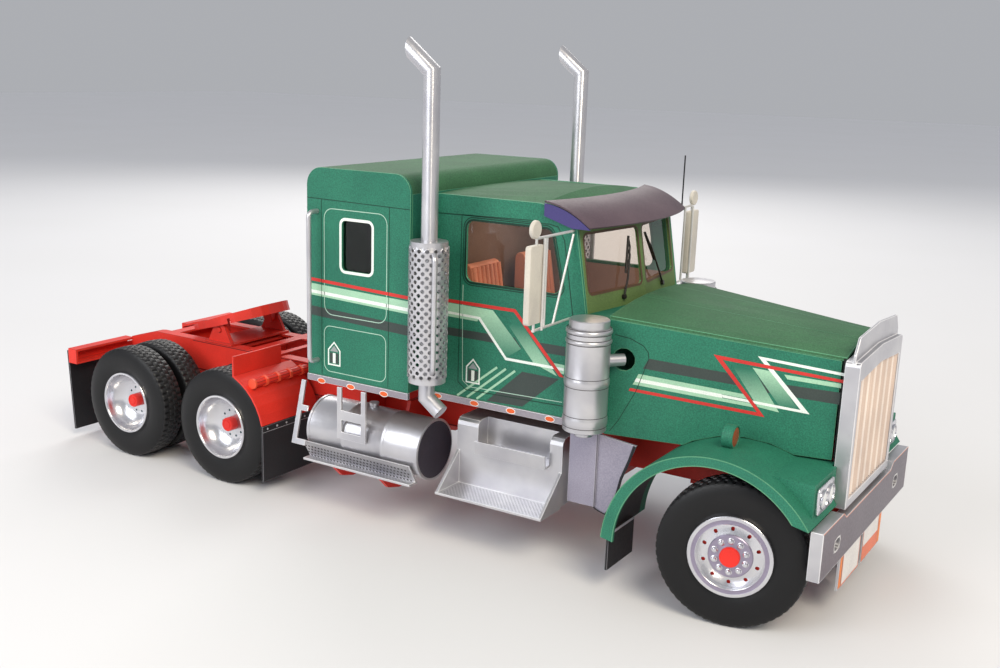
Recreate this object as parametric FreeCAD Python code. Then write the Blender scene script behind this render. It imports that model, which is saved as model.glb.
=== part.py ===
import FreeCAD, Part
import math
import os

from FreeCAD import Vector

os.makedirs("parts", exist_ok=True)

# Card scale model of a long-nose sleeper truck tractor, about 1:25, in millimetres.
# X runs forward, Y to the left and Z up. Lengths along X are counted from near the front axle while
# the pieces are made, and every piece is moved to the middle of the whole length when it is saved.

# Stance and overall size
WHEELBASE = 199.5
TANDEM = 52.0
FRONT_OVERHANG = 25.6
REAR_OVERHANG = 36.4
FRONT_AXLE_X = -1.2
TYRE_R = 22.0
STEER_AT_REST = 10.0
CARD = 1.0
THIN_CARD = 0.8
GAP = 0.3
RUNNING = 0.05

AXLE_1 = -WHEELBASE
AXLE_2 = -WHEELBASE - TANDEM
TAIL = AXLE_2 - REAR_OVERHANG
NOSE = FRONT_OVERHANG
MIDDLE = (TAIL + NOSE) / 2

# Tyres and rims
TYRE_SIDES = 26
RIM_SIDES = 18
ROD_SIDES = 8
BORE_SIDES = 12
CAN_SIDES = 14
CHORD = 34.0
TYRE_W = 11.2
TWIN_PITCH = 13.0
BEAD_R = 12.3
RIM_LIP_R = 12.1
BARREL_R = 10.6
RIM_WALL = 0.8
FRONT_FACE_Y = 47.8
DRIVE_FACE_Y = 48.4
SPINDLE_R = 2.0
HUB_R = 4.4
BOWL_DEPTH = 7.0
BOWL_FACE_R = 6.0
HAND_HOLES = 10
HAND_HOLE_R = 0.8
HAND_HOLE_RING = 8.1
NUT_RING = 4.75
NUT_R = 0.65
CAP_R = 2.95
KINGPIN_R = 1.2
KNUCKLE_R = 2.6
KINGPIN_IN = 2.0
KNUCKLE_H = 6.0
FORK_T = 1.5
AXLE_TUBE_R = 3.6
BOWL_R = 8.4
SHAFT_R = 1.6
AXLE_NOSE = 15.0
GEARBOX = (-96.0, -52.0, 24.0, 44.0)
GEARBOX_HALF = 9.0

# Frame
RAIL_Y = 17.2
RAIL_FLANGE = 5.0
RAIL_TOP = 43.5
RAIL_H = 12.5
RAIL_TAIL_DROP = 4.3
RAIL_TAIL_RUN = 15.0
MEMBER_W = 5.0
BEAM_Y = 46.5
BEAM_TOP = 38.6
BEAM_H = 6.2
BEAM_MIDDLE_DROP = 2.6
BEAM_D = 5.0
FLAP_W = 19.0
FLAP_LOW = 3.3
FLAP_T = 0.8
FRONT_FLAP_IN = 30.5
FRONT_FLAP_OUT = 48.4
FRONT_FLAP_LOW = 8.0
FRONT_FLAP_TOP = 20.0

# Fifth wheel
PLATE_PIN_X = AXLE_1 - 31.0
PLATE_PIN_Z = 49.3
PLATE_TILT = 19.5
PLATE_HALF = 17.5
PLATE_FRONT = 18.0
PLATE_REAR = 19.5
PLATE_T = 1.6
PLATE_OVER_PIN = 5.0
PLATE_SKIRT = 2.6
PLATE_PIN_R = 1.1
SLOT_R = 1.2
THROAT_HALF = 7.5
BRACKET_Y = 15.6
BRACKET_T = 1.6
BRACKET_BASE = 13.0

# Cab and sleeper
SLEEPER_REAR = -156.0
SLEEPER_FRONT = -113.0
SLEEPER_Y = 48.0
SLEEPER_BOTTOM = 50.4
SLEEPER_TOP = 121.7
SLEEPER_CORNER = 6.0
CAB_Y = 34.5
CAB_BOTTOM = 48.4
CAB_ROOF = 115.2
ROOF_CROWN = 2.8
HEAD_CROWN = 0.6
REAR_CROWN = 0.8
COWL_X = -48.0
SCREEN_FOOT_X = -56.0
SCREEN_FOOT_Z = 82.4
SCREEN_HEAD_X = -60.9
SCREEN_HEAD_Z = 110.6
SCREEN_V = 4.3
ROOF_BREAK_X = -73.0
STRIP_H = 2.3
SEAT_Y = 17.5
SEAT_HALF = 9.0
SEAT_L = 18.0
SEAT_H = 16.0
SEAT_BACK_H = 42.0
DASH_HALF = 30.0
DOOR_WINDOW = (-100.3, -65.0, 87.6, 107.4)
SLEEPER_WINDOW = (-141.0, -128.5, 88.2, 104.9)
VISOR_Y = 35.7
VISOR_REAR_X = -71.5
VISOR_TIP_X = -55.6
VISOR_REAR_Z = 115.7
VISOR_TIP_Z = 108.9
VISOR_BOW = 5.8
VISOR_BULGE = 1.4
VISOR_STEPS = 4

# Nose
HOOD_FRONT_X = 20.0
HOOD_REAR_Y = 34.5
HOOD_FRONT_Y = 21.5
HOOD_REAR_Z = 83.4
HOOD_FRONT_Z = 78.5
HOOD_CROWN = 3.2
HOOD_SIDE_LOW = 46.0
SHELL_Y = 23.7
SHELL_DEPTH = 4.6
SHELL_LOW = 34.6
SHELL_TOP = 79.4
DEFLECTOR_TOP = 85.8
GRILLE_PLEATS = 19
PLEAT_DEPTH = 1.4
FENDER_Y = 49.6
FENDER_IN_Y = 20.0
FENDER_R = 33.8
FENDER_CENTRE = (-6.0, 17.0)
FENDER_LIP_R = 29.7
FENDER_LIP_CENTRE = (-6.0, 18.1)
POD_Y = 43.8
POD_FACE_X = 21.0
POD_TOP = 47.4
SIDE_LAMP_R = 3.5
SIDE_LAMP_Y = 36.0
POD_LOW = 34.5
POD_TOP_REAR_X = 7.5
FENDER_START = 33.5
FENDER_END = 177.0
FENDER_STEPS = 9
FENDER_LIP_START = 38.3
FENDER_LIP_END = 180.0
BUMPER_Y = 47.4
BUMPER_LOW = 20.8
BUMPER_HIGH = 35.2
BUMPER_DIP = 33.2
BUMPER_T = 3.6
PLATE_W = 21.8
PLATE_LOW = 9.2

# Side gear
TANK_R = 10.5
TANK_Y = 37.5
TANK_Z = 29.0
BAND_OUT = 0.25
SADDLE_LOW = 11.5
SADDLE_T = 1.6
LADDER_TOP = 47.8
LADDER_LOW = 29.5
LADDER_NOTCH = 39.7
LADDER_W = 12.3
LADDER_POST = 1.9
LADDER_FROM_REAR = 14.7
RUNG_H = 2.0
REAR_RUNG_Z = 12.0
REAR_LADDER_OUT = 12.2
REAR_LADDER_RUN = 5.8
REAR_LADDER_RISE = 22.0
TANK_FRONT = -109.0
TANK_REAR = -157.0
SIDE_STEP_Y = 48.8
STEP_BOX_GAP = 8.0
STEP_BOX_L = 40.0
STEP_BOX_Y = 36.0
STEP_BOX_TOP = 41.9
TRAY_DROP = 10.4
TRAY_DEPTH = 6.0
TRAY_LIP = 4.2
TRAY_FROM_REAR = 8.2
TRAY_FROM_FRONT = 4.7
GUSSET_H = 12.0
STEP_Z = 19.0
SPLASH_LOW = 19.8
CLEANER_X = -51.0
CLEANER_R = 6.7
CLEANER_BAND = 0.4
CLEANER_BANDS = ((11.5, 0.25, 1.2), (20.5, 0.25, 1.2), (27.2, 0.3, 1.4), (30.6, 0.4, 1.4))
ELBOW_X = -43.0
ELBOW_Z = 70.3
ELBOW_R = 1.9
CLEANER_Y = CAB_Y + CLEANER_R + CLEANER_BAND + GAP
CLEANER_LOW = 48.7
CLEANER_TOP = 82.4
STACK_X = -105.3
STACK_Y = 48.4
STACK_R = 2.65
SHIELD_R = 6.1
SHIELD_LOW = 56.0
SHIELD_TOP = 101.8
STACK_FOOT_Z = 50.5
STACK_BEND_Z = 153.6
STACK_TIP_RUN = 8.4
STACK_LEAN = 51.3
MIRROR_X = -61.6
MIRROR_Y = 57.0
MIRROR_ARM_Z = 107.8
MIRROR_FOOT_Z = 80.6
ANTENNA_Y = 47.5
ANTENNA_TOP = 126.4


def outline(corners, place):
    """Closed wire through flat corners (u, v) or (u, v, radius). A rounded corner is a few chords."""
    points = []
    for i, corner in enumerate(corners):
        here = Vector(corner[0], corner[1], 0)
        r = corner[2] if len(corner) > 2 else 0.0
        if r <= 0:
            points.append(here)
            continue
        before = corners[i - 1]
        after = corners[(i + 1) % len(corners)]
        back = Vector(before[0], before[1], 0) - here
        ahead = Vector(after[0], after[1], 0) - here
        back.normalize()
        ahead.normalize()
        half = math.acos(max(-1.0, min(1.0, back.dot(ahead)))) / 2
        inward = back + ahead
        inward.normalize()
        centre = here + inward * (r / math.sin(half))
        start = here + back * (r / math.tan(half)) - centre
        bend = math.pi - 2 * half
        steps = max(1, round(math.degrees(bend) / CHORD))
        sense = 1 if back.cross(ahead).z < 0 else -1
        for k in range(steps + 1):
            a = sense * bend * k / steps
            points.append(centre + Vector(start.x * math.cos(a) - start.y * math.sin(a),
                                          start.x * math.sin(a) + start.y * math.cos(a), 0))
    apart = [p for i, p in enumerate(points) if (p - points[i - 1]).Length > 1e-6]
    loop = [place(p.x, p.y) for p in apart]
    return Part.makePolygon(loop + loop[:1])


def slab(corners, axis, low, high, holes=()):
    """Flat piece: an outline in the plane across an axis, with holes, made thick along that axis."""
    if axis == "x":
        def place(u, v):
            return Vector(low, u, v)
        through = Vector(high - low, 0, 0)
    elif axis == "y":
        def place(u, v):
            return Vector(u, low, v)
        through = Vector(0, high - low, 0)
    else:
        def place(u, v):
            return Vector(u, v, low)
        through = Vector(0, 0, high - low)
    body = Part.Face(outline(corners, place)).extrude(through)
    for hole in holes:
        body = body.cut(Part.Face(outline(hole, place)).extrude(through))
    return body


def rectangle(u0, u1, v0, v1, r=0.0):
    """Corner list of a rectangle with one corner radius."""
    return [(u0, v0, r), (u1, v0, r), (u1, v1, r), (u0, v1, r)]


def block(x0, x1, y0, y1, z0, z1):
    """Plain box between two corners."""
    return Part.makeBox(x1 - x0, y1 - y0, z1 - z0, Vector(x0, y0, z0))


def ngon(u, v, r, sides=ROD_SIDES):
    """Corner list of a regular polygon round a point."""
    step = 2 * math.pi / sides
    return [(u + r * math.cos(step * (k + 0.5)), v + r * math.sin(step * (k + 0.5))) for k in range(sides)]


def arch(centre, r, a0, a1, steps):
    """Points (x, z) on a circle between two angles in degrees."""
    span = math.radians(a1 - a0)
    turns = [math.radians(a0) + span * k / steps for k in range(steps + 1)]
    return [(centre[0] + r * math.cos(a), centre[1] + r * math.sin(a)) for a in turns]


def skinned(rings, split=False):
    """Solid with flat faces through rings of points, closed by its first and last ring.

    Split is for sheets whose rings twist: each side face is two triangles and each end is short strips.
    """
    ends = []
    for ring in (rings[0], rings[-1]):
        last = len(ring) - 1
        if split:
            ends += [[ring[k], ring[k + 1], ring[last - k - 1], ring[last - k]] for k in range(last // 2)]
        else:
            ends.append(ring)
    faces = [Part.Face(Part.makePolygon(loop + loop[:1])) for loop in ends]
    for a, b in zip(rings, rings[1:]):
        for k in range(len(a)):
            n = (k + 1) % len(a)
            corners = [[a[k], a[n], b[n]], [a[k], b[n], b[k]]] if split else [[a[k], a[n], b[n], b[k]]]
            faces += [Part.Face(Part.makePolygon(loop + loop[:1])) for loop in corners]
    body = Part.Solid(Part.Shell(faces))
    if body.Volume < 0:
        body.reverse()
    return body


def tube(route, r, sides=ROD_SIDES, last=None):
    """Round stock with flat sides along straight lengths that meet in mitred corners."""
    ways = []
    for start, end in zip(route, route[1:]):
        way = end - start
        way.normalize()
        ways.append(way)
    aside = Vector(1, 0, 0) if abs(ways[0].y) > 0.7 else Vector(0, 1, 0)
    aside = ways[0].cross(aside)
    aside.normalize()
    over = ways[0].cross(aside)
    step = 2 * math.pi / sides
    ring = [route[0] + aside * (r * math.cos(step * (k + 0.5))) + over * (r * math.sin(step * (k + 0.5)))
            for k in range(sides)]
    rings = [ring]
    for i, way in enumerate(ways):
        plane = way + ways[i + 1] if i + 1 < len(ways) else last or way
        ring = [p + way * ((route[i + 1] - p).dot(plane) / way.dot(plane)) for p in ring]
        rings.append(ring)
    return skinned(rings)


def rod(start, end, r, sides=ROD_SIDES):
    """Straight round bar with flat sides between two points."""
    return tube([start, end], r, sides)


def drill(start, end, r):
    """Bar that cuts a bearing hole: its flat sides, not its corners, lie at the radius."""
    return rod(start, end, r / math.cos(math.pi / BORE_SIDES), BORE_SIDES)


def fuse(pieces):
    """One solid out of pieces that share volume."""
    body = pieces[0]
    for piece in pieces[1:]:
        body = body.fuse(piece)
    return body.removeSplitter()


def mirrored(shape):
    """The same piece on the other side of the vehicle."""
    return shape.mirror(Vector(0, 0, 0), Vector(0, 1, 0))


def both_sides(shape):
    """A piece and its mirror image."""
    return [shape, mirrored(shape)]


def turned(profile, sides):
    """Solid of flat facets: a closed profile of (radius, y) carried round the Y axis."""
    def ring(r, y):
        step = 2 * math.pi / sides
        return [Vector(r * math.cos(step * k), y, r * math.sin(step * k)) for k in range(sides)]
    faces = []
    for i, (r0, y0) in enumerate(profile):
        r1, y1 = profile[(i + 1) % len(profile)]
        if r0 == 0 and r1 == 0:
            continue
        a = ring(r0, y0)
        b = ring(r1, y1)
        if abs(y0 - y1) < 1e-9:
            discs = [Part.Face(Part.makePolygon(loop + loop[:1])) for loop, r in ((a, r0), (b, r1)) if r > 0]
            discs.sort(key=lambda face: -face.Area)
            disc = discs[0].cut(discs[1]).Faces[0] if len(discs) > 1 else discs[0]
            wanted = (a[1] - a[0]).cross(b[0] - a[0]) if r0 > 0 else (b[0] - a[0]).cross(b[1] - b[0])
            if disc.normalAt(0, 0).dot(wanted) < 0:
                disc.reverse()
            faces.append(disc)
            continue
        for k in range(sides):
            n = (k + 1) % sides
            quad = [a[k], a[n], b[n], b[k], a[k]]
            faces.append(Part.Face(Part.makePolygon(quad)))
    body = Part.Solid(Part.Shell(faces))
    if body.Volume < 0:
        body.reverse()
    return body


def save(name, shapes):
    """Write one node, moved so that the origin is under the middle of the vehicle."""
    if not isinstance(shapes, list):
        shapes = [shapes]
    solids = [solid for shape in shapes for solid in shape.Solids]
    body = solids[0] if len(solids) == 1 else Part.makeCompound(solids)
    body = body.copy()
    body.translate(Vector(-MIDDLE, 0, 0))
    body.exportStep("parts/" + name + ".step")


# Tyre: flat tread, two-step shoulder, a sidewall that leans in to the bead
def tyre():
    half = TYRE_W / 2
    profile = [(TYRE_R, -half + 2.4), (TYRE_R, half - 2.4), (TYRE_R - 1.1, half - 0.7),
               (TYRE_R - 4.2, half), (BEAD_R, half - 0.9), (BEAD_R, -half + 0.9),
               (TYRE_R - 4.2, -half), (TYRE_R - 1.1, -half + 0.7)]
    return turned(profile, TYRE_SIDES)


def front_rim():
    """Barrel open to the inside, a disc with hand holes, a raised hub with its nuts and a cap."""
    half = TYRE_W / 2
    lip = half + 0.1
    disc_y = lip - 2.0
    hub_y = lip - 0.8
    profile = [(RIM_LIP_R, lip), (RIM_LIP_R, -half + 0.2), (BARREL_R, -half + 0.2),
               (BARREL_R, disc_y - RIM_WALL), (0.0, disc_y - RIM_WALL), (0.0, hub_y),
               (NUT_RING + 1.4, hub_y), (NUT_RING + 2.0, disc_y), (BARREL_R - 1.2, disc_y),
               (BARREL_R - 0.7, lip)]
    body = turned(profile, RIM_SIDES)
    holes = []
    nuts = []
    for k in range(HAND_HOLES):
        angle = 2 * math.pi * k / HAND_HOLES
        u, v = math.cos(angle), math.sin(angle)
        at = (HAND_HOLE_RING * u, HAND_HOLE_RING * v)
        holes.append(slab(ngon(at[0], at[1], HAND_HOLE_R, 6), "y", disc_y - 2, disc_y + 1))
        nuts.append(slab(ngon(NUT_RING * u, NUT_RING * v, NUT_R, 6), "y", hub_y - 0.2, hub_y + 0.8))
    cap = slab(ngon(0, 0, CAP_R, 12), "y", hub_y - 0.2, lip + 0.5)
    body = body.cut(Part.makeCompound(holes))
    body = fuse([body, cap] + nuts)
    return body.cut(drill(Vector(0, disc_y - 4, 0), Vector(0, hub_y - 1.0, 0), SPINDLE_R + RUNNING))


def twin_rim():
    """Two barrels back to back on one disc; the outer one is a deep bowl round the hub and its cap."""
    reach = TWIN_PITCH / 2 + TYRE_W / 2
    face = reach - BOWL_DEPTH
    profile = [(RIM_LIP_R, reach), (RIM_LIP_R, -reach), (BARREL_R, -reach), (BARREL_R, -RIM_WALL),
               (HUB_R + 0.6, -RIM_WALL), (HUB_R, -RIM_WALL - 4.0), (0.0, -RIM_WALL - 4.0), (0.0, face),
               (BOWL_FACE_R, face), (BOWL_FACE_R + 1.0, face - 0.9), (BARREL_R - 0.6, face - 0.4),
               (RIM_LIP_R - 0.7, reach)]
    body = turned(profile, RIM_SIDES)
    cap = slab(ngon(0, 0, CAP_R, 12), "y", face - 0.5, face + 3.2)
    bore = drill(Vector(0, -reach, 0), Vector(0, face - 1.0, 0), SPINDLE_R + RUNNING)
    return fuse([body, cap]).cut(bore)


def placed(shape, x, y, z, side, steer=0.0, out=0.0):
    """Put a wheel piece on one side (+1 left, -1 right), out from its kingpin and turned about it."""
    body = shape.copy()
    body.translate(Vector(0, out, 0))
    if side < 0:
        body = mirrored(body)
    body.rotate(Vector(0, 0, 0), Vector(0, 0, 1), steer)
    body.translate(Vector(x, y * side, z))
    return body


FRONT_WHEEL_Y = FRONT_FACE_Y - TYRE_W / 2
KINGPIN_Y = FRONT_WHEEL_Y - KINGPIN_IN
TWIN_Y = DRIVE_FACE_Y - TYRE_W / 2 - TWIN_PITCH / 2


def wheels():
    one_tyre = tyre()
    one_rim = front_rim()
    pair_rim = twin_rim()
    outer = one_tyre.copy()
    outer.translate(Vector(0, TWIN_PITCH / 2, 0))
    inner = one_tyre.copy()
    inner.translate(Vector(0, -TWIN_PITCH / 2, 0))
    for side, word in ((1, "left"), (-1, "right")):
        turn = STEER_AT_REST
        save("front_tyre_" + word, placed(one_tyre, FRONT_AXLE_X, KINGPIN_Y, TYRE_R, side, turn, KINGPIN_IN))
        save("front_rim_" + word, placed(one_rim, FRONT_AXLE_X, KINGPIN_Y, TYRE_R, side, turn, KINGPIN_IN))
        for number, x in ((1, AXLE_1), (2, AXLE_2)):
            tail = "_" + str(number) + "_" + word
            twins = [placed(outer, x, TWIN_Y, TYRE_R, side), placed(inner, x, TWIN_Y, TYRE_R, side)]
            save("twin_tyres" + tail, twins)
            save("twin_rims" + tail, placed(pair_rim, x, TWIN_Y, TYRE_R, side))


# Front axle: beam with a dropped middle, a fork and kingpin at each end, and a turning knuckle
FORK_IN = KNUCKLE_R + 0.4
FORK_H = KNUCKLE_H + 2 * GAP
BEAM_HALF = 2.2


def front_axle():
    z = TYRE_R
    web_y = KINGPIN_Y - FORK_IN
    half_h = FORK_H / 2 + FORK_T
    beam = slab([(-web_y, z - half_h), (-web_y + 2, z - half_h), (-web_y + 8, z - 4, 3),
                 (web_y - 8, z - 4, 3), (web_y - 2, z - half_h), (web_y, z - half_h),
                 (web_y, z + half_h), (web_y - 2, z + half_h), (web_y - 8, z + 1, 3),
                 (-web_y + 8, z + 1, 3), (-web_y + 2, z + half_h), (-web_y, z + half_h)],
                "x", -BEAM_HALF, BEAM_HALF)
    pieces = [beam]
    for side in (1, -1):
        y = KINGPIN_Y * side
        for low in (z - half_h, z + FORK_H / 2):
            lug = rod(Vector(0, y, low), Vector(0, y, low + FORK_T), KNUCKLE_R)
            strap = block(-BEAM_HALF, BEAM_HALF, min(y, (web_y - 1) * side), max(y, (web_y - 1) * side),
                          low, low + FORK_T)
            pieces += [lug, strap]
        pieces.append(rod(Vector(0, y, z - half_h), Vector(0, y, z + half_h), KINGPIN_R))
    body = fuse(pieces)
    body.translate(Vector(FRONT_AXLE_X, 0, 0))
    save("front_axle", body)


def knuckle():
    """Upright barrel on the kingpin with the spindle standing out towards the wheel."""
    barrel = rod(Vector(0, 0, -KNUCKLE_H / 2), Vector(0, 0, KNUCKLE_H / 2), KNUCKLE_R)
    reach = KINGPIN_IN + TYRE_W / 2 - 2.0
    spindle = rod(Vector(0, 0, 0), Vector(0, reach, 0), SPINDLE_R)
    bore = drill(Vector(0, 0, -KNUCKLE_H), Vector(0, 0, KNUCKLE_H), KINGPIN_R + RUNNING)
    return barrel.fuse(spindle).cut(bore).removeSplitter()


def steering():
    for side, word in ((1, "left"), (-1, "right")):
        save("knuckle_" + word, placed(knuckle(), FRONT_AXLE_X, KINGPIN_Y, TYRE_R, side, STEER_AT_REST))


# Frame: two channel rails with a sloping tail, cross-members and the rear beam
def channel_rail(x0, x1):
    """One left-hand channel rail, open to the inside."""
    top = RAIL_TOP
    low = RAIL_TOP - RAIL_H
    tail_low = top - RAIL_TAIL_DROP
    side = [(x0, low + 3), (x0 + 6, low), (x1, low), (x1, top), (x0 + RAIL_TAIL_RUN, top, 8),
            (x0, tail_low)]
    body = slab(side, "y", RAIL_Y - RAIL_FLANGE, RAIL_Y)
    inner = [(x0 - 1, low + 3 + CARD), (x0 + 6, low + CARD), (x1 + 1, low + CARD),
             (x1 + 1, top - CARD), (x0 + RAIL_TAIL_RUN, top - CARD, 8), (x0 - 1, tail_low - CARD - 0.3)]
    return body.cut(slab(inner, "y", RAIL_Y - RAIL_FLANGE - 1, RAIL_Y - CARD))


RAIL_FRONT_X = HOOD_FRONT_X - 0.6
RAIL_REAR_X = TAIL + FLAP_T + BEAM_D


def frame():
    rail = channel_rail(RAIL_REAR_X, RAIL_FRONT_X)
    low = RAIL_TOP - RAIL_H
    nose = block(RAIL_FRONT_X - 2, NOSE - BUMPER_T - 0.02, RAIL_Y - RAIL_FLANGE, RAIL_Y, low, SHELL_LOW - GAP)
    rail = fuse([rail, nose])
    save("frame_rails", both_sides(rail))
    inside = RAIL_Y - CARD
    low = RAIL_TOP - RAIL_H + CARD
    top = RAIL_TOP - CARD
    members = []
    places = (AXLE_2 - 12, AXLE_1 - TANDEM / 2, AXLE_1 + 20, AXLE_1 + 60, TANK_FRONT + 1, RAIL_FRONT_X - 8)
    half = MEMBER_W / 2
    for x in places:
        member = block(x - half, x + half, -inside, inside, low, top)
        hollow = block(x - half + CARD, x + MEMBER_W, -inside + CARD, inside - CARD, low + CARD, top - CARD)
        members.append(member.cut(hollow))
    save("cross_members", members)
    beam = block(TAIL + FLAP_T, RAIL_REAR_X, -BEAM_Y, BEAM_Y, BEAM_TOP - BEAM_H, BEAM_TOP)
    hollow = block(TAIL + FLAP_T + CARD, RAIL_REAR_X + 1, -BEAM_Y + CARD, BEAM_Y - CARD,
                   BEAM_TOP - BEAM_H + CARD, BEAM_TOP - CARD)
    middle = block(TAIL, NOSE, -inside, inside, BEAM_TOP - BEAM_MIDDLE_DROP, BEAM_TOP + 1)
    save("rear_beam", beam.cut(hollow).cut(middle))


def deck():
    """Cross plate over the rails ahead of the fifth wheel, with its long opening."""
    x1 = AXLE_1 + 2.0
    x0 = AXLE_1 - 14.0
    plate = slab(rectangle(x0, x1, -RAIL_Y, RAIL_Y), "z", RAIL_TOP, RAIL_TOP + THIN_CARD,
                 [rectangle(x0 + 5.0, x1 - 3.0, -12.0, 9.0, 1.5)])
    save("deck_plate", plate)


def flaps():
    top = BEAM_TOP - 1.0
    outer = BEAM_Y
    rear = slab([(outer - FLAP_W, FLAP_LOW), (outer - 1.6, FLAP_LOW), (outer, top), (outer - FLAP_W, top)],
                "x", TAIL, TAIL + FLAP_T)
    low = 5.6
    ahead = slab([(QUARTER_IN_Y, low), (QUARTER_Y, low), (QUARTER_Y, QUARTER_LOW - GAP),
                  (QUARTER_IN_Y, QUARTER_LOW - GAP)], "x", QUARTER_X - FLAP_T, QUARTER_X)
    behind = FENDER_CENTRE[0] - FENDER_R + CARD + GAP + 0.2
    front = slab(rectangle(FRONT_FLAP_IN, FRONT_FLAP_OUT, FRONT_FLAP_LOW, FRONT_FLAP_TOP),
                 "x", behind, behind + FLAP_T)
    save("mud_flaps", both_sides(rear) + both_sides(ahead) + both_sides(front))


# Fifth wheel: two triangular brackets on a cross plate, and the horseshoe that rocks on their pins
def fifth_wheel_base():
    base_z = RAIL_TOP + THIN_CARD
    half = BRACKET_BASE / 2
    plate = block(PLATE_PIN_X - half - 1, PLATE_PIN_X + half + 1, -RAIL_Y, RAIL_Y, RAIL_TOP, base_z)
    pieces = [plate]
    for side in (1, -1):
        y0 = BRACKET_Y * side - BRACKET_T / 2
        ear = slab([(PLATE_PIN_X - half, base_z - 0.2), (PLATE_PIN_X + half, base_z - 0.2),
                    (PLATE_PIN_X + 2.4, PLATE_PIN_Z + 2.5, 2.2),
                    (PLATE_PIN_X - 2.4, PLATE_PIN_Z + 2.5, 2.2)], "y", y0, y0 + BRACKET_T)
        bore = drill(Vector(PLATE_PIN_X, y0 - 1, PLATE_PIN_Z),
                     Vector(PLATE_PIN_X, y0 + BRACKET_T + 1, PLATE_PIN_Z), PLATE_PIN_R + RUNNING)
        pieces.append(ear.cut(bore))
    save("fifth_wheel_base", fuse(pieces))


def fifth_wheel_plate():
    """Horseshoe made level over its pins, then tipped back about them."""
    top = PLATE_OVER_PIN
    under = top - PLATE_T
    half = PLATE_HALF
    ring = [(PLATE_FRONT, -6.0, 6), (PLATE_FRONT, 6.0, 6), (10.5, half, 14), (-9.0, half, 12),
            (-PLATE_REAR, half - 6.0, 2), (-PLATE_REAR, THROAT_HALF, 1), (-4.0, SLOT_R, 0),
            (1.0, SLOT_R, SLOT_R * 0.98), (1.0, -SLOT_R, SLOT_R * 0.98), (-4.0, -SLOT_R, 0),
            (-PLATE_REAR, -THROAT_HALF, 1), (-PLATE_REAR, -half + 6.0, 2), (-9.0, -half, 12),
            (10.5, -half, 14)]
    plate = slab(ring, "z", under, top)
    rim = slab(ring, "z", top - PLATE_SKIRT - PLATE_T, under)
    inner = [(PLATE_FRONT - 1.2, -5.6, 5), (PLATE_FRONT - 1.2, 5.6, 5), (9.9, half - 1.2, 13),
             (-9.2, half - 1.2, 11), (-PLATE_REAR - 5, half - 9.9), (-PLATE_REAR - 5, -half + 9.9),
             (-9.2, -half + 1.2, 11), (9.9, -half + 1.2, 13)]
    rim = rim.cut(slab(inner, "z", -20, 20))
    slope = slab([(-PLATE_REAR - 5, -20), (PLATE_FRONT + 5, -20), (PLATE_FRONT, top - PLATE_SKIRT - PLATE_T),
                  (0, top - PLATE_SKIRT - 0.8), (-PLATE_REAR - 5, under - 0.2)], "y", -half - 5, half + 5)
    rim = rim.cut(slope)
    pieces = [plate] + rim.Solids
    reach = BRACKET_Y - BRACKET_T / 2 - GAP
    for side in (1, -1):
        y0 = min(side * reach, side * (reach - 2.2))
        cheek = slab([(-3.0, under + 0.2), (3.0, under + 0.2), (2.0, -1.6, 1.2), (-2.0, -1.6, 1.2)],
                     "y", y0, y0 + 2.2)
        pin = rod(Vector(0, side * (reach - 1.0), 0),
                  Vector(0, side * (BRACKET_Y + BRACKET_T / 2 + 0.4), 0), PLATE_PIN_R)
        pieces += [cheek, pin]
    body = fuse(pieces)
    ears = []
    for side in (1, -1):
        y0 = BRACKET_Y * side - BRACKET_T / 2 - GAP
        width = BRACKET_T + 2 * GAP
        room = rod(Vector(0, y0, 0), Vector(0, y0 + width, 0), 8.0)
        keep = rod(Vector(0, y0 - 1, 0), Vector(0, y0 + width + 1, 0), PLATE_PIN_R)
        under_plate = block(-20, 20, y0 - 1, y0 + width + 1, -20, under)
        ears.append(room.common(under_plate).cut(keep))
    for ear in ears:
        body = body.cut(ear)
    body.rotate(Vector(0, 0, 0), Vector(0, 1, 0), -PLATE_TILT)
    body.translate(Vector(PLATE_PIN_X, 0, PLATE_PIN_Z))
    save("fifth_wheel_plate", body)


# Quarter fender ahead of the first drive wheel, with its upright panel and cross tube
QUARTER_Y = 49.6
QUARTER_PANEL_IN = 24.0
QUARTER_PANEL_H = 7.8
QUARTER_IN_Y = RAIL_Y + 1.5
QUARTER_R = TYRE_R + 1.5
QUARTER_LOW = 27.0
QUARTER_X = AXLE_1 + math.sqrt(QUARTER_R ** 2 - (QUARTER_LOW - TYRE_R) ** 2)
QUARTER_TOP_X = AXLE_1 + 9.2


def arc_strip(cx, cz, r, t, a0, a1, y0, y1, steps=6):
    """Curved strip of card round a cross-wise axis, between two angles in degrees."""
    corners = arch((cx, cz), r, a0, a1, steps) + arch((cx, cz), r - t, a1, a0, steps)
    return slab(corners, "y", y0, y1)


def quarter_fenders():
    start = math.degrees(math.asin((QUARTER_LOW - TYRE_R) / QUARTER_R))
    end = math.degrees(math.acos((QUARTER_TOP_X - AXLE_1) / QUARTER_R))
    skin = arc_strip(AXLE_1, TYRE_R, QUARTER_R, THIN_CARD, start, end, QUARTER_IN_Y, QUARTER_Y)
    top_z = TYRE_R + QUARTER_R * math.sin(math.radians(end)) - 0.6
    panel = block(QUARTER_TOP_X - THIN_CARD, QUARTER_TOP_X, QUARTER_PANEL_IN, QUARTER_Y,
                  top_z, top_z + QUARTER_PANEL_H)
    save("quarter_fenders", both_sides(fuse([skin, panel])))
    angle = math.radians(50)
    x = AXLE_1 + (QUARTER_R + 1.7) * math.cos(angle)
    z = TYRE_R + (QUARTER_R + 1.7) * math.sin(angle)
    bar = rod(Vector(x, RAIL_Y + GAP, z), Vector(x, QUARTER_Y - 2.2, z), 1.6)
    save("fender_tubes", both_sides(bar))


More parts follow.
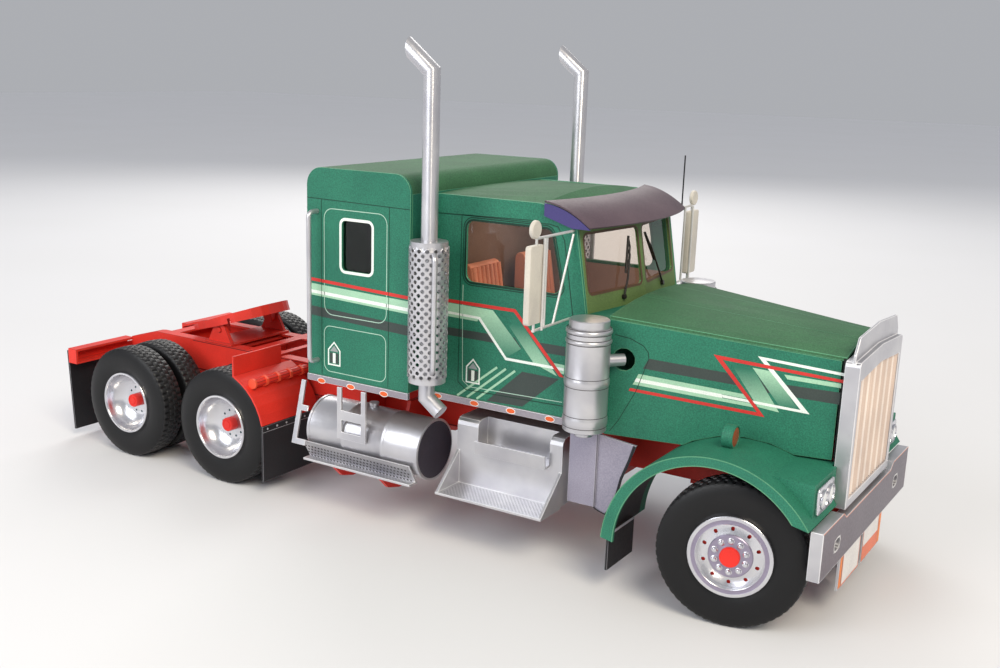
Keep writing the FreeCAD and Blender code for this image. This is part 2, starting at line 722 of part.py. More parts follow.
# Drive axles and their springs, which show from below
def drive_axles():
    """Tube and spindles across, with a bowl in the middle whose nose points forward to the shaft."""
    axles = []
    for x in (AXLE_1, AXLE_2):
        z = TYRE_R
        inboard = TWIN_Y - TWIN_PITCH / 2 - TYRE_W / 2
        across = rod(Vector(x, -inboard, z), Vector(x, inboard, z), AXLE_TUBE_R)
        spindle_end = TWIN_Y + TWIN_PITCH / 2 + TYRE_W / 2 - BOWL_DEPTH - 1.3
        spindle = rod(Vector(x, -spindle_end, z), Vector(x, spindle_end, z), SPINDLE_R, 12)
        bowl = turned([(0.0, -6.0), (5.5, -6.0), (BOWL_R, -1.5), (BOWL_R, 1.5), (5.6, 6.5),
                       (3.0, AXLE_NOSE), (0.0, AXLE_NOSE)], 14)
        bowl.rotate(Vector(0, 0, 0), Vector(0, 0, 1), -90)
        bowl.translate(Vector(x, 0, z))
        axles.append(fuse([across, spindle, bowl]))
    save("drive_axles", axles)


def springs():
    """Rear walking beams with hangers and stacked front leaves, all under the rails."""
    pieces = []
    z = TYRE_R
    rail_low = RAIL_TOP - RAIL_H
    y0 = RAIL_Y - RAIL_FLANGE
    for x in (AXLE_1, AXLE_2):
        seat_z = z + 3.4
        leaf = slab([(x - 17, rail_low - 1.2), (x - 14, rail_low - 1.2), (x, seat_z + 2.2, 14),
                     (x + 14, rail_low - 1.2), (x + 17, rail_low - 1.2), (x + 17, rail_low),
                     (x + 13, rail_low), (x, seat_z + 4.0, 14), (x - 13, rail_low),
                     (x - 17, rail_low)], "y", y0, RAIL_Y)
        pad = block(x - 3.5, x + 3.5, y0, RAIL_Y, seat_z - 0.4, seat_z + 4.6)
        pieces.append(fuse([leaf, pad.cut(rod(Vector(x, 0, z), Vector(x, 40, z), AXLE_TUBE_R + GAP))]))
    z0 = z + 1.0
    leaf = slab([(-24, rail_low - 1.2), (-20, rail_low - 1.2), (0, z0, 30), (17, rail_low - 1.2),
                 (20.5, rail_low - 1.2), (20.5, rail_low), (16, rail_low), (0, z0 + 2.4, 30),
                 (-19, rail_low), (-24, rail_low)], "y", y0, RAIL_Y)
    pad = block(-3.0, 3.0, y0, RAIL_Y, z + 1.02, z + 4.2)
    steered = fuse([leaf, pad])
    steered.translate(Vector(FRONT_AXLE_X, 0, 0))
    pieces.append(steered)
    both = []
    for piece in pieces:
        both += both_sides(piece)
    save("leaf_springs", both)


def driveline():
    """Plain gearbox under the cab and the shafts back to the axles."""
    rear, front, low, top = GEARBOX
    box = slab([(rear, low + 2), (front - 10, low), (front, low), (front, top), (front - 18, top),
                (rear, top - 6)], "y", -GEARBOX_HALF, GEARBOX_HALF)
    shaft = rod(Vector(rear - 1, 0, low + 5.5), Vector(AXLE_1 + AXLE_NOSE + GAP, 0, TYRE_R), SHAFT_R)
    link = rod(Vector(AXLE_1 - 6.1, 0, TYRE_R), Vector(AXLE_2 + AXLE_NOSE + GAP, 0, TYRE_R), SHAFT_R)
    save("driveline", [fuse([box, shaft]), link])


# Fuel tanks on red saddles, with ladder steps and a perforated tread outside them
def upright(profile, sides):
    """Turned piece stood on end: its profile is (radius, z)."""
    body = turned(profile, sides)
    body.rotate(Vector(0, 0, 0), Vector(1, 0, 0), 90)
    return body


def tanks():
    """Rolled card drums with two raised bands, on saddles whose lower edge shows under the tread."""
    band = TANK_R + BAND_OUT
    profile = [(0.0, TANK_REAR), (band, TANK_REAR), (band, TANK_REAR + 1.2), (TANK_R, TANK_REAR + 1.2)]
    for x in (TANK_REAR + 15.0, TANK_FRONT - 16.0):
        profile += [(TANK_R, x), (band, x + 0.4), (band, x + 1.6), (TANK_R, x + 2.0)]
    profile += [(TANK_R, TANK_FRONT - 1.2), (band, TANK_FRONT - 1.2), (band, TANK_FRONT), (0.0, TANK_FRONT)]
    body = turned(profile, CAN_SIDES)
    body.rotate(Vector(0, 0, 0), Vector(0, 0, 1), -90)
    body.translate(Vector(0, TANK_Y, TANK_Z))
    cap_x = TANK_REAR + 22
    cap = rod(Vector(cap_x, TANK_Y, TANK_Z + TANK_R - 1), Vector(cap_x, TANK_Y, TANK_Z + TANK_R + 1.6), 1.8, 8)
    save("fuel_tanks", both_sides(fuse([body, cap])))
    saddles = []
    room = ngon(TANK_Y, TANK_Z, TANK_R + BAND_OUT + GAP, CAN_SIDES)
    outer = [(RAIL_Y + GAP, RAIL_TOP - 2), (RAIL_Y + GAP, SADDLE_LOW + 6), (TANK_Y - 12, SADDLE_LOW, 14),
             (TANK_Y + 5.4, SADDLE_LOW, 12), (TANK_Y + 9.4, STEP_Z - 0.9), (TANK_Y + 4, STEP_Z - 0.9),
             (TANK_Y + 4, TANK_Z - 6), (TANK_Y - 4, TANK_Z), (TANK_Y - 8, RAIL_TOP - 2)]
    for x in (TANK_REAR + 10.0, TANK_FRONT - 17.5):
        saddles += both_sides(slab(outer, "x", x, x + SADDLE_T, [room]))
    save("tank_saddles", saddles)


def tank_steps():
    """Card ladders on the tank's outside, and a tread with a toe strip that leans along the tank."""
    x0, x1 = TANK_REAR - 1.0, TANK_FRONT - 2.5
    tread = slab(rectangle(TANK_Y + 6.4, SIDE_STEP_Y, STEP_Z - 0.8, STEP_Z), "x", x0, x1)
    strip_low = (TANK_Y + 6.4, STEP_Z - 0.8)
    strip_top = (TANK_Y + 11.2, TANK_Z - 3.4)
    toe = slab([strip_low, (strip_low[0] + 0.9, strip_low[1]), (strip_top[0] + 0.5, strip_top[1]),
                (strip_top[0] - 0.1, strip_top[1])], "x", x0, x1)
    clear = rod(Vector(x0 - 1, TANK_Y, TANK_Z), Vector(x1 + 1, TANK_Y, TANK_Z),
                TANK_R + BAND_OUT + 0.1, CAN_SIDES)
    walk = fuse([tread, toe.cut(clear)])
    left = TANK_REAR + LADDER_FROM_REAR
    right = left + LADDER_W
    y0 = TANK_Y + TANK_R + BAND_OUT + 0.05
    ladder = slab([(left, LADDER_LOW), (right, LADDER_LOW), (right, LADDER_TOP),
                   (right - LADDER_POST, LADDER_TOP), (right - LADDER_POST, LADDER_NOTCH),
                   (left + LADDER_POST, LADDER_NOTCH), (left + LADDER_POST, LADDER_TOP),
                   (left, LADDER_TOP)], "y", y0, y0 + THIN_CARD,
                  [rectangle(left + LADDER_POST, right - LADDER_POST, LADDER_LOW + 2.5, LADDER_NOTCH - 3.4)])
    rear_x = TANK_REAR - 5.0
    post_x = rear_x + LADDER_POST
    length = math.hypot(REAR_LADDER_RUN, REAR_LADDER_RISE)
    comb = slab([(rear_x, 0), (TANK_REAR + 1.0, 0), (TANK_REAR + 1.0, RUNG_H), (post_x, RUNG_H),
                 (post_x, REAR_RUNG_Z), (TANK_REAR - 0.4, REAR_RUNG_Z),
                 (TANK_REAR - 0.4, REAR_RUNG_Z + RUNG_H),
                 (post_x, REAR_RUNG_Z + RUNG_H), (post_x, length), (rear_x, length)], "y", 0, THIN_CARD)
    lean = math.degrees(math.atan2(REAR_LADDER_RUN, REAR_LADDER_RISE))
    comb.rotate(Vector(0, 0, 0), Vector(1, 0, 0), lean)
    comb.translate(Vector(0, TANK_Y + REAR_LADDER_OUT, STEP_Z + 5.0))
    save("tank_steps", both_sides(walk) + both_sides(ladder) + both_sides(comb))


def step_boxes():
    """Battery box with a rounded top edge, a tray let into its face, and a tread on two gussets."""
    x0 = TANK_FRONT + STEP_BOX_GAP
    x1 = x0 + STEP_BOX_L
    inner = RAIL_Y + GAP
    outer = STEP_BOX_Y
    body = slab([(inner, STEP_Z), (outer, STEP_Z), (outer, STEP_BOX_TOP, 2.5), (inner, STEP_BOX_TOP)],
                "x", x0, x1)
    tray_z = STEP_BOX_TOP - TRAY_DROP
    left, right = x0 + TRAY_FROM_REAR, x1 - TRAY_FROM_FRONT
    pocket = block(left, right, outer - TRAY_DEPTH, outer + 1, tray_z, STEP_BOX_TOP + 1)
    body = body.cut(pocket)
    back = outer - TRAY_DEPTH - 0.2
    tray = slab([(back, tray_z - 0.3), (outer + 2.5, tray_z - 0.3), (outer + 2.9, tray_z + TRAY_LIP),
                 (outer + 2.1, tray_z + TRAY_LIP), (outer + 1.7, tray_z + 0.5), (back, tray_z + 0.5)],
                "x", left + 0.2, right - 0.2)
    tread = block(x0, x1, outer - 0.5, SIDE_STEP_Y, STEP_Z - 0.8, STEP_Z)
    pieces = [body, tray, tread]
    for x in (x0, x1 - CARD):
        pieces.append(slab([(outer - 0.5, STEP_Z - 0.4), (SIDE_STEP_Y, STEP_Z - 0.4),
                            (outer - 0.5, STEP_Z + GUSSET_H)], "x", x, x + CARD))
    save("step_boxes", both_sides(fuse(pieces)))


def splash_panels():
    """Flat post under the air cleaner and the curved-edge panel behind the fender."""
    top = CAB_BOTTOM - STRIP_H - GAP
    face = CAB_Y - GAP
    post = block(CLEANER_X - 7.5, CLEANER_X + 1.8, face + 0.8, face + 2.0, SPLASH_LOW + 2.2, top)
    rear = CLEANER_X + 1.0
    panel = slab([(rear, top), (rear, SPLASH_LOW + 1.2, 3), (rear + 5.0, SPLASH_LOW, 2),
                  (rear + 9.4, SPLASH_LOW + 13.2, 30), (rear + 13.6, top - 1.4)], "y", face, face + CARD)
    shelf = SPLASH_LOW + 13.2
    bracket = block(CLEANER_X - 5.0, CLEANER_X + 5.0, RAIL_Y + GAP, face + CARD, shelf, shelf + 1.2)
    save("splash_panels", both_sides(fuse([post, panel, bracket])))


# Cab: side walls with doors drawn on, roof, V windscreen frame, bulkhead and floor
CAB_IN = CAB_Y - CARD
CAB_REAR = SLEEPER_FRONT + GAP
CROWN_STEPS = 8


def a_pillar_x(z):
    """Place of the cab's front edge at a height."""
    share = (z - SCREEN_FOOT_Z) / (SCREEN_HEAD_Z - SCREEN_FOOT_Z)
    return SCREEN_FOOT_X + (SCREEN_HEAD_X - SCREEN_FOOT_X) * share


def cab_sides():
    wx0, wx1, wz0, wz1 = DOOR_WINDOW
    lean = a_pillar_x(wz1) - a_pillar_x(wz0)
    window = [(wx0, wz0, 2.5), (wx1, wz0, 2.5), (wx1 + lean, wz1, 2.5), (wx0, wz1, 2.5)]
    side = slab([(CAB_REAR, CAB_BOTTOM), (COWL_X, CAB_BOTTOM), (COWL_X, SCREEN_FOOT_Z),
                 (SCREEN_FOOT_X, SCREEN_FOOT_Z), (SCREEN_HEAD_X, SCREEN_HEAD_Z),
                 (ROOF_BREAK_X, CAB_ROOF, 4.0), (CAB_REAR, CAB_ROOF)],
                "y", CAB_IN, CAB_Y, [window])
    save("cab_sides", both_sides(side))


def crowned(x, y, low, rise, t, bow=0.0):
    """Ring of points round a crowned sheet: over it from right to left and back underneath."""
    shares = [2.0 * k / CROWN_STEPS - 1.0 for k in range(CROWN_STEPS + 1)]
    upper = [Vector(x + bow * (1 - s * s), y * s, low + rise * (1 - s * s)) for s in shares]
    lower = [p - Vector(0, 0, t) for p in reversed(upper)]
    return upper + lower


def cab_roof():
    """Crowned sheet that bends down at the front to the peaked head of the windscreen."""
    y = CAB_IN - GAP * 0.1
    low = CAB_ROOF - 0.2
    rear = crowned(CAB_REAR, y, low, REAR_CROWN, CARD)
    fold = crowned(ROOF_BREAK_X, y, low, ROOF_CROWN, CARD)
    main = skinned([rear, fold], True)
    edge = crowned(SCREEN_HEAD_X, y, SCREEN_HEAD_Z - 0.2, HEAD_CROWN, CARD)
    head = [p + Vector(SCREEN_V * (1 - abs(p.y) / y), 0, 0) for p in edge]
    front = skinned([fold, head], True)
    save("cab_roof", fuse([main, front]))


SCREEN_T = CARD


def screen_half(u0, u1, z0, z1, t0, t1, corner=0.0):
    """Flat panel in the plane of the left windscreen half: u runs from the post to the corner."""
    length = math.hypot(SCREEN_V, CAB_IN)
    rise = SCREEN_HEAD_Z - SCREEN_FOOT_Z
    up = Vector(SCREEN_HEAD_X - SCREEN_FOOT_X, 0, rise)
    across = Vector(-SCREEN_V, CAB_IN, 0) * (1 / length)
    normal = across.cross(up)
    normal.normalize()
    up = up * (1 / rise)
    foot = Vector(SCREEN_FOOT_X + SCREEN_V, 0, SCREEN_FOOT_Z)

    def place(u, v):
        return foot + across * u + up * v + normal * t0
    corners = rectangle(u0, u1, z0, z1, corner)
    return Part.Face(outline(corners, place)).extrude(normal * (t1 - t0))


def windscreen():
    """Two flat halves that meet at the post, each with its window, and a pane behind each."""
    length = math.hypot(SCREEN_V, CAB_IN)
    rise = SCREEN_HEAD_Z - SCREEN_FOOT_Z
    sample = screen_half(0, 1, 0, 1, 0, 1)
    outward = 1 if sample.BoundBox.XMax > SCREEN_FOOT_X + SCREEN_V + 0.5 else -1
    back = -outward * SCREEN_T
    whole = screen_half(-1, length + 1, 0, rise - CARD - 0.3, back, 0)
    left = block(-200, 0, 0, CAB_IN - 0.05, 0, 200)
    window = screen_half(1.5, length - 1.8, 5.6, rise - 4.0, back * 2, -back, 2.0)
    left = left.common(block(-200, 0, -1, CAB_IN, SCREEN_FOOT_Z + 0.02, 200))
    frame_left = whole.cut(window).common(left)
    frame_whole = fuse([frame_left, mirrored(frame_left)])
    save("windscreen_frame", frame_whole)
    pane = screen_half(0.9, length - 2.4, 4.8, rise - 3.2, back * 1.7, back * 1.1, 1.0).common(left)
    wx0, wx1, wz0, wz1 = DOOR_WINDOW
    glass_y = CAB_IN - 0.1
    door = slab([(wx0 - 1, wz0 - 1), (wx1 + 1, wz0 - 1), (wx1 - 2.4, wz1 + 1), (wx0 - 1, wz1 + 1)],
                "y", glass_y - 0.5, glass_y)
    sx0, sx1, sz0, sz1 = SLEEPER_WINDOW
    inside = SLEEPER_Y - CARD - 0.1
    side = slab(rectangle(sx0 - 1, sx1 + 1, sz0 - 1, sz1 + 1), "y", inside - 0.5, inside)
    save("window_panes", both_sides(pane) + both_sides(door) + both_sides(side))


def cab_inside():
    wall = block(COWL_X - CARD, COWL_X, -CAB_IN + 0.05, CAB_IN - 0.05, CAB_BOTTOM, SCREEN_FOOT_Z)
    shelf_edge = [(SCREEN_FOOT_X - CARD, -CAB_IN + 0.05), (COWL_X, -CAB_IN + 0.05), (COWL_X, CAB_IN - 0.05),
                  (SCREEN_FOOT_X - CARD, CAB_IN - 0.05)]
    shelf = slab(shelf_edge, "z", SCREEN_FOOT_Z - CARD, SCREEN_FOOT_Z)
    save("cowl", fuse([wall, shelf]))
    floor = block(CAB_REAR, COWL_X - CARD - 0.05, -CAB_IN + 0.05, CAB_IN - 0.05, CAB_BOTTOM, CAB_BOTTOM + CARD)
    back = block(SLEEPER_REAR + CARD + 0.05, SLEEPER_FRONT - CARD - 0.05, -SLEEPER_Y + CARD + 0.05,
                 SLEEPER_Y - CARD - 0.05, SLEEPER_BOTTOM, SLEEPER_BOTTOM + CARD)
    save("cab_floors", [floor, back])
    seat_z = CAB_BOTTOM + CARD
    rest = CAB_REAR + 8.7
    seats = []
    for side in (1, -1):
        y = SEAT_Y * side
        base = block(rest, rest + SEAT_L, y - SEAT_HALF, y + SEAT_HALF, seat_z, seat_z + SEAT_H)
        back_rest = slab([(rest, seat_z + SEAT_H - 2), (rest + 5, seat_z + SEAT_H - 2),
                          (rest + 0.5, seat_z + SEAT_BACK_H, 2), (rest - 3.5, seat_z + SEAT_BACK_H, 2),
                          (rest - 3.5, seat_z + SEAT_BACK_H - 12)], "y", y - SEAT_HALF, y + SEAT_HALF)
        seats.append(fuse([base, back_rest]))
    save("seats", seats)
    wall_x = COWL_X - CARD - 0.1
    shelf_z = SCREEN_FOOT_Z - CARD - 0.4
    dash = slab([(wall_x, shelf_z - 21), (wall_x - 15, shelf_z - 19, 3), (wall_x - 17, shelf_z - 7, 3),
                 (wall_x - 11, shelf_z - 2, 2), (wall_x, shelf_z - 1)], "y", -DASH_HALF, DASH_HALF)
    save("dashboard", dash)


# Visor: one crowned sheet, its front edge bowed forward
def visor():
    """Sheet bulged from rear to tip and bowed forward across, with a crescent plate at each end."""
    def side_line(drop):
        points = []
        for k in range(VISOR_STEPS + 1):
            s = k / VISOR_STEPS
            x = VISOR_REAR_X + (VISOR_TIP_X - VISOR_REAR_X) * s
            z = VISOR_REAR_Z + (VISOR_TIP_Z - VISOR_REAR_Z) * s + 4 * VISOR_BULGE * s * (1 - s)
            points.append((x, z - drop))
        return points
    section = side_line(0.0) + side_line(THIN_CARD)[::-1]
    rings = []
    for k in range(CROWN_STEPS + 1):
        s = 2.0 * k / CROWN_STEPS - 1.0
        rings.append([Vector(x + VISOR_BOW * (1 - s * s), VISOR_Y * s, z) for x, z in section])
    sheet = skinned(rings)
    crescent = side_line(0.3) + [(VISOR_TIP_X - 6.0, VISOR_TIP_Z - 0.4), (VISOR_REAR_X, VISOR_REAR_Z - 4.2)]
    ends = both_sides(slab(crescent, "y", VISOR_Y - THIN_CARD, VISOR_Y - 0.01))
    save("visor", fuse([sheet] + ends))


# Sleeper box: two sides with rounded top corners, a roof bent over them, back and front walls
def sleeper():
    x0, x1 = SLEEPER_REAR, SLEEPER_FRONT
    z0, z1 = SLEEPER_BOTTOM, SLEEPER_TOP
    sx0, sx1, sz0, sz1 = SLEEPER_WINDOW
    side = slab([(x0, z0), (x1, z0), (x1, z1, SLEEPER_CORNER), (x0, z1, SLEEPER_CORNER)],
                "y", SLEEPER_Y - CARD, SLEEPER_Y, [rectangle(sx0, sx1, sz0, sz1, 1.5)])
    save("sleeper_sides", both_sides(side))
    inside = SLEEPER_Y - CARD - 0.02
    shoulder = z1 - SLEEPER_CORNER
    roof = slab([(x0, shoulder), (x0, z1, SLEEPER_CORNER), (x1, z1, SLEEPER_CORNER), (x1, shoulder),
                 (x1 - CARD, shoulder), (x1 - CARD, z1 - CARD, SLEEPER_CORNER - CARD),
                 (x0 + CARD, z1 - CARD, SLEEPER_CORNER - CARD), (x0 + CARD, shoulder)],
                "y", -inside, inside)
    save("sleeper_roof", roof)
    save("sleeper_back", block(x0, x0 + CARD, -inside, inside, z0, shoulder))
    save("sleeper_front", block(x1 - CARD, x1, -inside, inside, z0, shoulder))


def sill_strips():
    back = block(SLEEPER_REAR, SLEEPER_FRONT, SLEEPER_Y - CARD, SLEEPER_Y + 0.4,
                 SLEEPER_BOTTOM - STRIP_H, SLEEPER_BOTTOM - 0.02)
    front = block(CAB_REAR + 0.4, COWL_X, CAB_Y - CARD, CAB_Y + 0.4, CAB_BOTTOM - STRIP_H,
                  CAB_BOTTOM - 0.02)
    save("sill_strips", both_sides(back) + both_sides(front))


# Hood: crowned top and two flat sides that taper to the radiator shell
def hood():
    """Crowned top sheet and two flat sides that taper to the radiator shell, cut over the fenders."""
    x0, x1 = COWL_X + 0.1, HOOD_FRONT_X
    rear = crowned(x0, HOOD_REAR_Y, HOOD_REAR_Z, HOOD_CROWN, CARD)
    front = crowned(x1, HOOD_FRONT_Y, HOOD_FRONT_Z, HOOD_CROWN, CARD)
    save("hood_top", skinned([rear, front], True))
    low = HOOD_SIDE_LOW
    side = slab([(x0, low), (x1, low), (x1, HOOD_FRONT_Z - CARD - 0.05), (x0, HOOD_REAR_Z - CARD - 0.05)],
                "y", -CARD, 0)
    taper = math.degrees(math.atan2(HOOD_REAR_Y - HOOD_FRONT_Y, x1 - x0))
    side.rotate(Vector(x0, 0, 0), Vector(0, 0, 1), -taper)
    side.translate(Vector(0, HOOD_REAR_Y, 0))
    elbow_hole = rod(Vector(ELBOW_X, 0, ELBOW_Z), Vector(ELBOW_X, 60, ELBOW_Z), ELBOW_R + 1.6, 12)
    trim = block(x0, x1, 0, 60, 0, 200)
    over_fender = slab(arch(FENDER_CENTRE, FENDER_R + GAP, 0, 180, 14), "y", 0, 60)
    over_pod = block(POD_TOP_REAR_X - 1, 60, 0, 60, 0, POD_TOP + 0.5)
    save("hood_sides", both_sides(side.common(trim).cut(over_fender).cut(over_pod).cut(elbow_hole)))


# Front fender: a round arch of card with a flat outer band, the lamp pod inboard and a round side lamp
def fenders():
    """Arched skin and its outer band, the pod that carries the headlamps and the round side lamp."""
    outer = arch(FENDER_CENTRE, FENDER_R, FENDER_START, FENDER_END, FENDER_STEPS)
    under = arch(FENDER_CENTRE, FENDER_R - CARD, FENDER_END, FENDER_START, FENDER_STEPS)
    lip = arch(FENDER_LIP_CENTRE, FENDER_LIP_R, FENDER_LIP_END, FENDER_LIP_START, FENDER_STEPS)
    skin = slab(outer + under, "y", FENDER_IN_Y, FENDER_Y)
    band = slab(outer + lip, "y", FENDER_Y - CARD, FENDER_Y)
    beneath = slab(arch(FENDER_CENTRE, FENDER_R - CARD / 2, -20, 200, 24), "y", 0, FENDER_Y + 1)
    pod = slab([(POD_FACE_X, POD_LOW), (POD_FACE_X, POD_TOP - 0.4), (POD_TOP_REAR_X, POD_TOP),
                (POD_TOP_REAR_X, POD_LOW)], "y", FENDER_IN_Y, POD_Y).cut(beneath)
    lamp_z = FENDER_CENTRE[1] + FENDER_R + SIDE_LAMP_R - 0.5
    lamp = rod(Vector(-8.5, SIDE_LAMP_Y, lamp_z), Vector(-5.0, SIDE_LAMP_Y, lamp_z), SIDE_LAMP_R, 14)
    beside_shell = block(HOOD_FRONT_X - GAP, 30, 0, SHELL_Y + GAP, 0, 100)
    save("fenders", both_sides(fuse([band, skin, pod, lamp]).cut(beside_shell)))
    plate = slab(rectangle(27.6, 42.2, 37.6, 45.6, 1.2), "x", POD_FACE_X + 0.02, POD_FACE_X + 0.9)
    lamps = [rod(Vector(POD_FACE_X + 0.4, y, 41.6), Vector(POD_FACE_X + 1.6, y, 41.6), 2.9, 12)
             for y in (31.7, 38.1)]
    save("headlamps", both_sides(fuse([plate] + lamps)))


# Radiator shell with its deflector, the barred grille and the bumper
def front_end():
    """Radiator shell with its deflector, the pleated grille, the bumper and two hung plates."""
    x0, x1 = HOOD_FRONT_X + 0.2, HOOD_FRONT_X + SHELL_DEPTH
    y = SHELL_Y
    inside = y - 2.2
    opening = [(-inside, SHELL_LOW + 2.6), (inside, SHELL_LOW + 2.6), (inside, SHELL_TOP - 7.0),
               (0, SHELL_TOP - 5.4), (-inside, SHELL_TOP - 7.0)]
    shell = slab([(-y, SHELL_LOW), (y, SHELL_LOW), (y, SHELL_TOP - 1.4, 1.5), (0, SHELL_TOP),
                  (-y, SHELL_TOP - 1.4, 1.5)], "x", x0, x1, [opening])
    deflector = slab([(-y + 0.3, SHELL_TOP - 3), (y - 0.3, SHELL_TOP - 3), (y - 0.3, SHELL_TOP + 0.5),
                      (y - 3.5, DEFLECTOR_TOP - 1.3, 1), (0, DEFLECTOR_TOP), (-y + 3.5, DEFLECTOR_TOP - 1.3, 1),
                      (-y + 0.3, SHELL_TOP + 0.5)], "x", x0 + 2.0, x0 + 2.0 + THIN_CARD)
    save("radiator_shell", fuse([shell, deflector]))
    half = inside - 0.1
    pitch = 2 * half / GRILLE_PLEATS
    front = x1 - 0.4
    pleats = [(x0 + 1.0, -half), (front, -half)]
    for k in range(GRILLE_PLEATS):
        left = -half + pitch * k
        valley = front - PLEAT_DEPTH
        pleats += [(valley, left + pitch * 0.42), (valley, left + pitch * 0.58), (front, left + pitch)]
    pleats.append((x0 + 1.0, half))
    folded = slab(pleats, "z", SHELL_LOW + 2.7, SHELL_TOP)
    window = slab([(-half, SHELL_LOW), (half, SHELL_LOW), (half, SHELL_TOP - 7.1), (0, SHELL_TOP - 5.5),
                   (-half, SHELL_TOP - 7.1)], "x", x0, x1)
    save("grille", folded.common(window))
    wide = BUMPER_Y
    face = [(-wide, BUMPER_LOW), (wide, BUMPER_LOW), (wide, BUMPER_HIGH), (28.0, BUMPER_HIGH, 1.5),
            (25.0, BUMPER_DIP, 1.5), (-25.0, BUMPER_DIP, 1.5), (-28.0, BUMPER_HIGH, 1.5),
            (-wide, BUMPER_HIGH)]
    slots = [rectangle(29.6, 35.4, 25.4, 29.4, 1.9), rectangle(-35.4, -29.6, 25.4, 29.4, 1.9)]
    save("bumper", slab(face, "x", NOSE - BUMPER_T, NOSE, slots))
    back = NOSE - 1.6
    plates = [block(back, back + THIN_CARD, start, start + PLATE_W, PLATE_LOW, BUMPER_LOW - 0.02)
              for start in (-PLATE_W - 1.7, 0.8)]
    save("number_plates", plates)


# Round gear: air cleaners with stepped bands, exhaust stacks and their heat shields
def air_cleaners():
    """Upright can with pressed bands, a foot, a lid and the stub that enters the hood."""
    r = CLEANER_R
    profile = [(0.0, -2.0), (3.0, -2.0), (3.0, 0.0), (r, 0.0)]
    for up, out, height in CLEANER_BANDS:
        profile += [(r, up), (r + out, up + height / 2), (r, up + height)]
    top = CLEANER_TOP - CLEANER_LOW
    profile += [(r, top - 0.6), (r - 0.8, top), (4.6, top), (4.6, top + 1.0), (0.0, top + 1.0)]
    can = upright(profile, CAN_SIDES)
    can.translate(Vector(CLEANER_X, CLEANER_Y, CLEANER_LOW))
    stub = rod(Vector(CLEANER_X + 3.0, CLEANER_Y - 1.0, ELBOW_Z), Vector(ELBOW_X, CAB_Y - 0.9, ELBOW_Z),
               ELBOW_R, 10)
    save("air_cleaners", both_sides(fuse([can, stub])))


def stacks():
    """Straight pipe with a mitred, open tip leaning back and a mitred foot, in a capped heat shield."""
    lean = math.radians(STACK_LEAN)
    foot = Vector(STACK_X, STACK_Y, STACK_FOOT_Z)
    bend = Vector(STACK_X, STACK_Y, STACK_BEND_Z)
    tip = bend + Vector(-STACK_TIP_RUN, 0, STACK_TIP_RUN / math.tan(lean))
    outlet = foot + Vector(5.7, 0, -4.1)
    pipe = tube([outlet, foot, bend, tip], STACK_R, 14, Vector(-1, 0, 0))
    mouth = tube([bend + (tip - bend) * 0.5, tip + (tip - bend)], STACK_R - 0.5, 14)
    save("exhaust_stacks", both_sides(pipe.cut(mouth)))
    low = Vector(STACK_X, STACK_Y, SHIELD_LOW)
    head = Vector(STACK_X, STACK_Y, SHIELD_TOP)
    up = Vector(0, 0, CARD)
    shield = rod(low, head, SHIELD_R, CAN_SIDES).cut(rod(low + up, head - up, SHIELD_R - 0.7, CAN_SIDES))
    out = Vector(0.45, 0.89, 0)
    wall = Vector(STACK_X, STACK_Y, 0) + out * (SHIELD_R - 0.5)
    grip = Vector(STACK_X, STACK_Y, 0) + out * (SHIELD_R + 1.4)
    low_z = Vector(0, 0, SHIELD_LOW + 4)
    high_z = Vector(0, 0, SHIELD_TOP - 3.4)
    handle = tube([wall + low_z, grip + low_z + up * 1.5, grip + high_z - up * 1.5, wall + high_z], 0.75, 6)
    clamps = [block(SLEEPER_FRONT + 0.02, STACK_X - SHIELD_R + 2.0, STACK_Y - 4.0, STACK_Y - 1.6, z, z + 2.0)
              for z in (SHIELD_LOW + 1.0, SHIELD_TOP - 4.0)]
    around = tube([low - up, head + up], STACK_R + 0.03, 14)
    hollow = rod(low + up, head - up, SHIELD_R - 0.7, CAN_SIDES)
    shell = fuse([shield, handle] + clamps).cut(hollow)
    save("heat_shields", both_sides(shell.cut(around)))


def strip(start, end, width, x0, x1):
    """Flat bar of card between two (y, z) points, lying across the vehicle."""
    along = Vector(0, end[0] - start[0], end[1] - start[1])
    along.normalize()
    side = Vector(0, -along.z, along.y) * (width / 2)
    a = Vector(x0, start[0], start[1])
    b = Vector(x0, end[0], end[1])
    face = Part.Face(Part.makePolygon([a - side, b - side, b + side, a + side, a - side]))
    return face.extrude(Vector(x1 - x0, 0, 0))


def mirrors():
    """Card frame on two arms and a brace that carries a tall mirror and a small round one above it."""
    x, y = MIRROR_X, MIRROR_Y
    inner = CAB_Y - 2
    x0, x1 = x - 0.45, x + 0.45
    low, high = MIRROR_FOOT_Z, MIRROR_ARM_Z
    bars = [strip((inner, low), (y + 0.4, low), 0.9, x0, x1),
            strip((inner, high), (y + 0.4, high), 0.9, x0, x1),
            strip((y, low - 0.5), (y, high + 2.5), 0.9, x0, x1),
            strip((inner, high - 1), (CAB_Y + 10.8, low), 0.8, x0, x1)]
    glass = slab(rectangle(y - 3.1, y + 4.7, low + 2.2, high - 1.8, 0.7), "x", x - 1.0, x + 1.0)
    disc = slab(ngon(y + 1.0, high + 2.7, 2.7, 14), "x", x - 0.7, x + 0.7)
    frame_piece = fuse(bars + [glass, disc])
    outside = block(x - 20, x + 20, CAB_Y + 0.02, CAB_Y + 40, 0, 200)
    save("mirrors", both_sides(frame_piece.common(outside)))
    foot = MIRROR_ARM_Z + 0.45
    save("antenna", rod(Vector(x, ANTENNA_Y, foot), Vector(x, ANTENNA_Y, ANTENNA_TOP), 0.3, 6))


